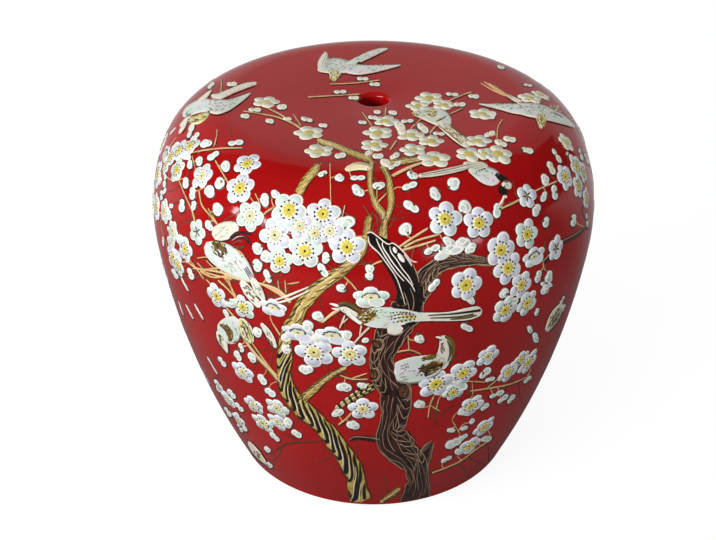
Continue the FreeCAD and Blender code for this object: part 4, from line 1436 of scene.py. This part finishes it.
        ("birdGrey", 0, [(479, 104, 1), (490, 105.6, 3.4), (502, 106.8, 7), (514, 108.6, 10),
         (526, 109.4, 12)],
         [(518, 108, 11), (530, 110, 14), (543, 112.4, 14), (556, 117, 11), (567, 122, 7),
         (575, 127, 2)]),
        ("mottle", 2, golden, 34, (541.3, 119.6), (6.5, 4.6), 80, 3.4, 1.2),
        ("mottle", 2, downy, 70, (538, 111), (20, 5), 14, 3, 1.0),
        ("mottle", 2, downy, 12, (506, 107), (12, 2.2), 8, 3, 0.8),
        ("dashes", 3, "birdInk", 8, [(500, 104), (512, 102.8), (524, 103)], 0.7),
        ("mottle", 2, ("heartPale", "featherMoss"), 14, (555, 109), (6, 4), 40, 3, 1.0),
        ("leafGreen", 2, [(549, 112, 0.8), (556, 114, 1.2), (563, 118, 0.8)]),
    ],
    "tallPerched": [
        ("birdCream", 0, [(418, 176, 3.4), (432, 174, 5.6), (448, 171, 6), (463, 167.6, 5.6),
         (474, 164, 3)],
         [(463, 163.5, 3), (473, 164.5, 7), (482, 166, 8), (488, 168, 5)]),
        ("birdGrey", 0, [(468, 169.5, 3), (475, 171.6, 10), (484, 174.6, 17), (493, 178, 17),
         (500, 181.4, 10)]),
        ("birdCream", 0, [(501, 184.6, 6), (507, 185, 9), (511, 188.6, 6)]),
        ("mottle", 2, downy, 26, (485, 175.5), (12, 6), 24, 3.4, 0.8),
        ("mottle", 3, ("birdInk", "barkBlack"), 26, (502, 178), (7, 3), 30, 3.6, 1.4),
        ("birdInk", 2, [(496, 177, 3), (502, 177.4, 5), (507.4, 180, 2.4)]),
        ("mottle", 3, ("birdInk", "barkBlack"), 20, (502.5, 190), (4.6, 4.4), 80, 3.4, 1.4),
        ("birdInk", 2, [(499, 186, 3), (502.4, 191, 6), (508, 193, 3)]),
        ("birdCream", 3, [(503.6, 185.4, 3.6), (508.6, 187, 4.2)]),
        ("petalRim", 1, [(504, 194.6, 2), (503, 199, 2), (499, 205, 1.4)]),
        ("petalRim", 2, [(505, 197.5, 2), (506.5, 195.5, 3)]),
        ("birdInk", 2, [(421, 175, 0.6), (446, 170.4, 0.8), (470, 164.6, 0.6)]),
        ("featherMoss", 2, [(421, 176.6, 0.6), (446, 172.6, 1.2), (468, 167.8, 0.6)]),
        ("featherRose", 2, [(424, 174.4, 0.6), (446, 169.4, 0.8)]),
        ("fan", 2, "featherMoss", 4, (466, 162.6), (466, 167), (487, 165), (486, 171)),
        ("dashes", 3, "birdInk", 4, [(476, 172.6), (481, 170), (486, 168.4)], 1.4),
    ],
    "edgeBird": [
        ("birdCream", 0, [(562, 303, 3), (557, 312, 9), (552, 321, 9), (546, 331, 4)]),
        ("mottle", 2, golden, 24, (554, 317), (11, 3), 116, 4, 1.2),
        ("fan", 3, "birdInk", 2, (559, 307), (563, 308), (546, 328), (550, 328)),
    ],
    "clusterBird": [
        ("birdCream", 0, [(438, 122, 6), (447, 129, 9), (456, 136, 10), (464, 142, 9.6),
         (470, 147, 6)]),
        ("seatTint", 0, [(412, 113, 4), (420, 113.6, 9), (429, 114.6, 15), (438, 116.6, 18),
         (445, 120.6, 14), (449, 126.6, 7)]),
        ("mottle", 1, golden, 30, (429, 113.4), (7.5, 4), 0, 3.4, 1.2),
        ("mottle", 1, golden, 18, (418, 114), (5, 2.6), 0, 3, 1.0),
        ("mottle", 1, ("featherMoss", "birdCream"), 20, (443, 119), (7, 5), 40, 3, 0.9),
        ("mottle", 2, ("featherMoss", "twigOlive", "birdBrown", "twigOlive"), 60, (455, 135), (15, 3.4),
         36, 3.4, 0.9),
        ("birdInk", 2, [(436, 121.4, 0.8), (441, 119.6, 1.4), (446.6, 116, 0.8)]),
        ("birdBrown", 2, [(438, 125, 0.8), (450, 134.6, 1.1), (462, 144.6, 0.8)],
         [(451, 127, 0.8), (460, 133.4, 1.0), (469, 141, 0.8)]),
    ],
    "fallenFeather": [
        ("birdCream", 0, [(248, 441, 2), (252, 446.5, 5), (257, 453, 6.4), (262.6, 459.6, 4.4),
         (268, 465, 1)]),
        ("mottle", 2, golden, 12, (257.4, 453.4), (7, 1.5), 48, 3.6, 1.0),
    ],
}
birdForm = {
    "lift": 0.25,
    "levelStep": 0.035,
    "rim": 1.9,
    "rimBrush": (0.02, 4, 3.0),
    "plumageBrush": (0.02, 6, 3.0),
    "outline": 2.0,
    # The outline is moved down, as painted shadow
    "outlineShadowShift": (0.2, 0.4),
    "outlineBrush": (0.15, 0.02, 4, 4.0),
    "markBrush": (0.02, 2, 2.5),
    "dashBrush": (0.01, 2, 1.5),
    "featherBrush": (0.01, 2, 2.5),
    # Birds of the seat have peach rims and aren't copied behind
    "seated": ("seatFlyer", "shoulderFlyer", "rightFlyer", "tallPerched", "clusterBird"),
}


def paintFan(lift, paint, count, startLow, startHigh, endLow, endHigh):
    # Thin lines from one edge to another, a little bowed
    for index in range(count):
        share = (index + 0.5) / count
        start = [a + (b - a) * share for a, b in zip(startLow, startHigh)]
        end = [a + (b - a) * share for a, b in zip(endLow, endHigh)]
        bow = (share - 0.5) * 1.6
        middle = ((start[0] + end[0]) / 2 + bow * 0.4, (start[1] + end[1]) / 2 + bow)
        paintStroke(paint, [(*start, 0.4), (*middle, 0.8), (*end, 0.4)], lift, 0.01)


def paintDashes(lift, paint, count, points, width):
    # A line broken into short dashes, with gaps between them
    run = smoothPath([(x, y, width) for x, y in points], 0.7)
    for index in range(count):
        start, end = (round((index + share) / count * (len(run) - 1)) for share in (0.0, 0.62))
        if end > start:
            paintStroke(paint, [tuple(run[start]), tuple(run[end])], lift, *birdForm["dashBrush"])


def paintMottle(lift, paints, count, centre, reach, turnDegrees, length, width):
    # Short feathers scattered in an oval, at several lifts so that their tops don't meet
    turn = math.radians(turnDegrees)
    for index in range(count):
        out, way = math.sqrt(dice.random()), dice.uniform(0, math.tau)
        along, across = math.cos(way) * out * reach[0], math.sin(way) * out * reach[1]
        x = centre[0] + along * math.cos(turn) - across * math.sin(turn)
        y = centre[1] + along * math.sin(turn) + across * math.cos(turn)
        heading = turn + dice.uniform(-0.5, 0.5)
        half = length / 2 * dice.uniform(0.6, 1.2)
        step = (math.cos(heading) * half, math.sin(heading) * half)
        feather = [(x - step[0], y - step[1], width * 0.5), (x, y, width * dice.uniform(0.7, 1.2)),
                   (x + step[0], y + step[1], width * 0.4)]
        level = lift + index % 7 * 0.004
        paintStroke(dice.choice(paints), feather, level, *birdForm["featherBrush"])


def paintPlumage(paint, points, lift, rimPaint):
    # A feathered shape with its pale rim and a dark outline, set low so that it is also its painted
    # shadow
    form = birdForm
    dark = shifted(points, form["outlineShadowShift"], form["outline"])
    paintStroke("outlineAndShadow", dark, *form["outlineBrush"])
    paintStroke(rimPaint, points, lift - 0.04, *form["rimBrush"])
    inner = [(x, y, max(width - form["rim"], width * 0.35))
             for x, y, width in points]
    for tip, inward in ((0, 1), (-1, -2)):  # the rim shows at the ends too
        length = max(math.dist(inner[tip][:2], inner[inward][:2]), 0.1)
        share = min(form["rim"] / 2 / length, 0.5)
        inner[tip] = tuple(a + (b - a) * share for a, b in zip(inner[tip], inner[inward]))
    paintStroke(paint, inner, lift, *form["plumageBrush"])


def paintBird(name, parts):
    form = birdForm
    rimPaint = "birdPeach" if name in form["seated"] else "birdRim"
    feathers = {"fan": paintFan, "dashes": paintDashes, "mottle": paintMottle}
    for paint, level, *rest in parts:
        lift = form["lift"] + level * form["levelStep"]
        if paint in feathers:
            feathers[paint](lift, *rest)
            continue
        for points in rest:
            if level > 0:
                paintStroke(paint, points, lift, *form["markBrush"])
            else:
                paintPlumage(paint, points, lift, rimPaint)


# Fine curved stems of buds and blossoms, and faint sprays behind everything; in photo pixels
stemForm = {
    "seed": 77,
    "gap": (6, 30.0),  # shorter and longer gaps have no stem
    "bend": 0.18,
    "widths": (1.2, 0.8, 0.8),
    "goldWithin": 16.0,
    "seatLine": 132.0,  # there are no stems above this, on the seat
    "brush": (0.15, 0.03, 2, 5.0),
}
sprayForm = {
    "seed": 31,
    "count": 230,
    "topLine": 144.0,
    "joints": (2, 4),
    "turn": (-0.6, 0.6),
    "step": (7.5, 6.5),
    "widths": (1.6, 1.1),
    "brush": (0.09, 0.03, 2, 6.0),
}
branchSample = 6.0  # photo pixels between the points that stems may grow from


def paintStems(branchPoints, motifs):
    # Joins each bud and blossom to the nearest branch
    form = stemForm
    lot = random.Random(form["seed"])
    least, most = form["gap"]
    root, belly, tip = form["widths"]
    for motif in motifs:
        x, y = motif[:2]
        near = min(branchPoints, key=lambda point: math.dist(point, (x, y)))
        gap = math.dist(near, (x, y))
        if least < gap < most and y > form["seatLine"]:
            bend = lot.choice((-1, 1)) * form["bend"] * gap
            across = Vector((near[1] - y, x - near[0])).normalized() * bend
            middle = ((x + near[0]) / 2 + across.x, (y + near[1]) / 2 + across.y, belly)
            paint = "twigGold" if gap < form["goldWithin"] else "fineTwig"
            paintStroke(paint, [(*near, root), middle, (x, y, tip)], *form["brush"])


def paintSprays(branchPoints):
    form = sprayForm
    lot = random.Random(form["seed"])
    for _ in range(form["count"]):
        x, y = lot.choice(branchPoints)
        if y < form["topLine"]:
            continue
        heading = lot.uniform(0, math.tau)
        points = [(x, y, form["widths"][0])]
        for _ in range(lot.randint(*form["joints"])):
            heading += lot.uniform(*form["turn"])
            x, y = x + math.cos(heading) * form["step"][0], y + math.sin(heading) * form["step"][1]
            points.append((x, y, form["widths"][1]))
        paintStroke("fineTwig", points, *form["brush"])


def alongBranches(branches):
    return [tuple(point[:2]) for points in branches for point in smoothPath(points, branchSample)]


# A sprig for each side, drawn as if it were in front and then turned round there
sideTwigs = [
    [(306, 378, 5), (330, 352, 6), (352, 330, 6), (370, 304, 5.5), (382, 274, 5), (386, 244, 4),
     (384, 212, 2)],
    [(330, 352, 2.5), (350, 362, 3), (376, 360, 3), (400, 351, 1.5)],
    [(352, 330, 2.5), (340, 308, 3), (322, 288, 2.5), (308, 270, 1.5)],
    [(370, 304, 3), (396, 293, 3.5), (420, 288, 3), (444, 272, 1.5)],
    [(382, 274, 2.5), (362, 256, 3), (346, 240, 2.5), (330, 228, 1.5)],
    [(386, 244, 2.5), (402, 228, 3), (416, 208, 1.5)],
    [(420, 288, 1.5), (440, 302, 2), (462, 312, 1.5)], [(306, 378, 2), (296, 396, 2), (290, 414, 1.2)],
]
sideOpen = [
    (372, 300, 36, -30), (405, 290, 32, 20), (348, 327, 33, 70), (321, 287, 30, 0), (384, 262, 32, -80),
    (387, 358, 30, 10), (347, 241, 28, 40), (413, 214, 27, 100), (462, 311, 27, 60),
]
sidePale = [(438, 276, 28, 50), (327, 355, 29, 0), (362, 346, 24, 30), (300, 392, 25, 20)]
sideCupped = [(388, 234, 29)]
sideBuds = [
    (449, 263, 5, 454, 259, 5), (452, 287, 5.5, 458, 285, 5.5), (300, 302, 6, 300, 308, 6),
    (311, 269, 5, 307, 264, 5), (329, 228, 5, 325, 223, 5), (358, 221, 5, 359, 214, 5),
    (383, 207, 5, 383, 201, 5), (424, 199, 5, 428, 194, 5), (409, 358, 6, 415, 360, 6),
    (402, 340, 5.5, 408, 337, 5), (344, 384, 5, 346, 391, 5), (290, 372, 5, 285, 377, 5),
    (438, 307, 6, 436, 313, 6), (476, 302, 5, 481, 299, 5), (478, 322, 5, 484, 325, 5),
    (336, 308, 8, 334, 312, 8), (402, 262, 7, 405, 258, 7), (366, 275, 7, 362, 272, 7),
    (424, 262, 6, 428, 257, 6), (372, 380, 6, 374, 386, 5),
]
sidePetals = [
    (318, 412, 5, 322, 417, 4.5), (287, 420, 4.5, 284, 426, 4.5), (352, 425, 5, 356, 430, 5),
    (404, 404, 5, 409, 408, 5), (336, 458, 4, 340, 462, 4), (446, 364, 5, 447, 371, 5),
    (470, 352, 5, 475, 356, 5), (286, 340, 5, 284, 346, 5), (430, 432, 4.5, 434, 437, 4.5),
    (476, 392, 4.5, 480, 398, 4.5), (382, 452, 4.5, 386, 456, 4.5), (492, 336, 5, 496, 341, 5),
]


def paintSides():
    motifTurns[:] = enamelForm["sides"]
    paintStems(alongBranches(sideTwigs), sideBuds)
    for points in sideTwigs:
        paintTwig(points, "gold")
    for bud in sideBuds + sidePetals:
        paintBud(*bud)
    for kind, blossoms in (("pale", sidePale), ("cupped", sideCupped), ("open", sideOpen)):
        for blossom in blossoms:
            paintBlossom(*blossom, kind=kind)
    motifTurns[:] = enamelForm["front"]
    print("side sprigs painted")


def paintTrunks():
    paintTrunk("trunkMaroon", maroonLimb, "grain", 3)
    paintTrunk("trunkMaroon", maroonStub, "grain", 6)
    paintTrunk("trunkMaroon", maroonTrunk, "grain", 4)
    paintStroke("outlineAndShadow", shifted(maroonTop, (0, 0), topForm["outline"]), *topForm["outlineBrush"])
    paintStroke("barkBlack", maroonTop, *topForm["brush"])
    paintTrunk("twigOlive", oliveFork, "golden", 9)
    paintTrunk("twigOlive", oliveTop, "golden", 7)
    paintTrunk("twigOlive", oliveTrunk, "zebra", 8)
    paintPlait(plaitedBranch)
    for knot in knots:
        paintKnot(*knot)
    # Pale grain lines and painted highlight on the dark trunk's top
    for paint, *lines in limbLinesAndHighlights:
        for points in lines:
            paintStroke(paint, points, topForm["lineLift"])
    print("trunks painted")


def paintBranches():
    form = twigForm
    for points in darkTwigs:
        paintTwig(points, "dark")
    for points in brownTwigs:
        paintStroke("fineTwig", points, *form["brownBrush"])
    for number, points in enumerate(goldBranches):
        if points[1][2] >= form["barkFrom"]:
            thin = [(x, y, width * form["barkShare"]) for x, y, width in points]
            paintTrunk("twigOlive", thin, "golden", form["barkSeed"] + number)
        else:
            paintTwig(points, "gold")
    for points in goldTwigs:
        paintTwig(points, "fineGold")
    for points in creamBranches:
        paintTwig(points, "cream")
    print("branches painted")


def makePainting():
    branches = goldBranches + goldTwigs + creamBranches + darkTwigs
    branches += [maroonTrunk, maroonTop, maroonLimb, oliveTrunk, oliveTop, oliveFork]
    branchPoints = alongBranches(branches)
    paintSprays(branchPoints)
    paintStems(branchPoints, buds + openBlossoms + paleAndHighlightBlossoms + cuppedBlossoms)
    print("stems painted")
    paintTrunks()
    paintBranches()
    for name, parts in birds.items():
        if name in birdForm["seated"]:
            motifTurns[:] = enamelForm["front"][:1]
        paintBird(name, parts)
        motifTurns[:] = enamelForm["front"]
    print("birds painted")
    for bud in buds:
        paintBud(*bud)
    for kind, blossoms in (("back", backBlossoms), ("pale", paleAndHighlightBlossoms),
                           ("cupped", cuppedBlossoms), ("open", openBlossoms)):
        for blossom in blossoms:
            seated = kind in ("open", "pale") and onSeat(*blossom[:2])
            paintBlossom(*blossom, kind="seat" if seated else kind)
    print("blossoms painted")
    paintSides()
    for name, layer in paintLayers.items():
        count = len(layer.faces)
        finishPiece(name, layer, [enamelMaterial(name)])
        print("paint layer", name, count, "faces")


studio = {
    "floorSize": 24.0,
    "floorColour": (0.18, 0.18, 0.18, 1.0),
    "floorRoughness": 0.9,
    "floorWhite": 0.90,  # added where the camera looks, so that the floor is white
    "floorMirrored": (0.02, 0.40),  # added in gloss or glass, near the stool and far behind it
    "floorBehind": (0.10, 0.75),  # from where to where the mirrored floor brightens
    "floorUnder": (0.085, 0.09),  # the floor inside the foot stays dark
    "backdropRadius": 11.5,
    "backdropHeight": 12.0,
    "backdropSides": 64,
    "ambient": 0.04,
    "lampAim": 0.25,
    "lamps": [
        # name, azimuth, elevation, distance, width, height, radiance, seen in the gloss
        ("leftSoftbox", -50, 22, 2.2, 1.9, 0.32, 20.0, True),
        ("rightSoftbox", 38, 7, 2.4, 1.2, 0.20, 6.0, True),
        ("farSkirt", 180, 1.9, 3.3, 7.0, 0.265, 0.42, True),
        ("farWindow", 180, 13.0, 3.3, 7.0, 1.02, 0.40, True),
        ("farHaze", 180, 24.9, 3.3, 6.0, 0.357, 0.33, True),
        ("farReflector", 180, 39.0, 3.3, 4.8, 1.28, 0.24, True),
        ("overheadFill", -28, 70, 2.8, 4.0, 3.0, 1.12, False),
        ("frontFill", -10, 0, 3.0, 4.0, 1.6, 1.05, False),
        ("rightFill", 68, 5, 3.0, 3.0, 2.0, 1.24, False),
        ("leftFill", -68, 3, 3.0, 3.0, 1.5, 1.05, False),
        ("backFill", 180, 22, 3.0, 4.0, 2.0, 0.80, False),
    ],
}
white, black = (1, 1, 1, 1), (0, 0, 0, 1)


def stageMaterial(name, colour):
    # Dull, with white emission
    material, tree, shader = startMaterial(name)
    shader.inputs["Base Color"].default_value = colour
    shader.inputs["Specular IOR Level"].default_value = 0.0
    shader.inputs["Emission Color"].default_value = white
    return material, tree, shader


def floorMaterial():
    # A pale floor that keeps the stool's shadow, darker in the glaze than to the camera
    material, tree, shader = stageMaterial("paleFloor", studio["floorColour"])
    shader.inputs["Roughness"].default_value = studio["floorRoughness"]
    rays = tree.nodes.new("ShaderNodeLightPath").outputs
    place = tree.nodes.new("ShaderNodeTexCoord").outputs["Object"]
    split = tree.nodes.new("ShaderNodeSeparateXYZ")
    tree.links.new(place, split.inputs["Vector"])
    reach = tree.nodes.new("ShaderNodeVectorMath")
    reach.operation = "LENGTH"
    tree.links.new(place, reach.inputs[0])
    behind = rangeNode(tree, split.outputs["Y"], *studio["floorMirrored"],
                       *studio["floorBehind"], "SMOOTHSTEP")
    outside = rangeNode(tree, reach.outputs["Value"], 0.0, studio["floorWhite"],
                        *studio["floorUnder"])
    mirrored = mathNode(tree, "MAXIMUM", rays["Is Glossy Ray"], rays["Is Transmission Ray"])
    dimmed = mathNode(tree, "MULTIPLY", mirrored, behind)
    strength = mathNode(tree, "MULTIPLY_ADD", rays["Is Camera Ray"], outside, dimmed)
    tree.links.new(strength, shader.inputs["Emission Strength"])
    return material


def makeStage(name, shape, material):
    data = bpy.data.meshes.new(name)
    shape.to_mesh(data)
    shape.free()
    data.materials.append(material)
    stage = bpy.data.objects.new(name, data)
    bpy.context.collection.objects.link(stage)
    return stage


def makeFloor():
    shape = bmesh.new()
    bmesh.ops.create_grid(shape, x_segments=1, y_segments=1, size=studio["floorSize"] / 2)
    makeStage("studioFloor", shape, floorMaterial())


def makeBackdrop():
    # A white wall all round, far away, that only the camera sees
    shape = bmesh.new()
    radius, height = studio["backdropRadius"], studio["backdropHeight"]
    bmesh.ops.create_cone(shape, cap_ends=False, segments=studio["backdropSides"],
                          radius1=radius, radius2=radius, depth=height,
                          matrix=Matrix.Translation((0, 0, height / 2)))
    material, _, shader = stageMaterial("whiteBackdrop", black)
    shader.inputs["Emission Strength"].default_value = 1.0
    wall = makeStage("studioBackdrop", shape, material)
    wall.visible_diffuse = wall.visible_glossy = False
    wall.visible_transmission = wall.visible_shadow = False


def makeLamp(name, azimuth, elevation, distance, width, height, radiance, glossy):
    # A soft rectangular lamp that faces the stool; azimuth 0 is in front, minus is left
    turn, rise = math.radians(azimuth), math.radians(elevation)
    level = math.cos(rise)
    toward = Vector((math.sin(turn) * level, -math.cos(turn) * level, math.sin(rise)))
    data = bpy.data.lights.new(name, "AREA")
    data.shape = "RECTANGLE"
    data.size, data.size_y = width, height
    data.energy = radiance * math.pi * width * height
    lamp = bpy.data.objects.new(name, data)
    lamp.location = Vector((0, 0, studio["lampAim"])) + toward * distance
    lamp.rotation_euler = toward.to_track_quat("Z", "Y").to_euler()
    lamp.visible_camera = False
    lamp.visible_glossy = glossy
    bpy.context.collection.objects.link(lamp)


def makeWorld():
    world = bpy.data.worlds.new("studioWorld")
    world.use_nodes = True
    background = world.node_tree.nodes["Background"]
    background.inputs["Color"].default_value = white
    background.inputs["Strength"].default_value = studio["ambient"]
    bpy.context.scene.world = world


makeCamera()
makeWorld()
makeFloor()
makeBackdrop()
for lamp in studio["lamps"]:
    makeLamp(*lamp)
bpy.context.scene.view_settings.view_transform = "Standard"
print("studio ready")

stoolBody = makeStoolBody(glazeMaterial(), clayMaterial("bareClay"))
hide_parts("seat_slab", "upper_wall", "middle_wall", "lower_wall", "foot_ring")
print("stool body turned,", len(stoolBody.data.polygons), "faces")

slip, felt = clayMaterial("lutingSlip", tone=0.9), feltMaterial()
for name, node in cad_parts.items():
    if name.endswith("_slip") or name.startswith("foot_pad"):
        for place in node.material_slots:
            place.material = slip if name.endswith("_slip") else felt
print("slip and felt dressed")

makePainting()
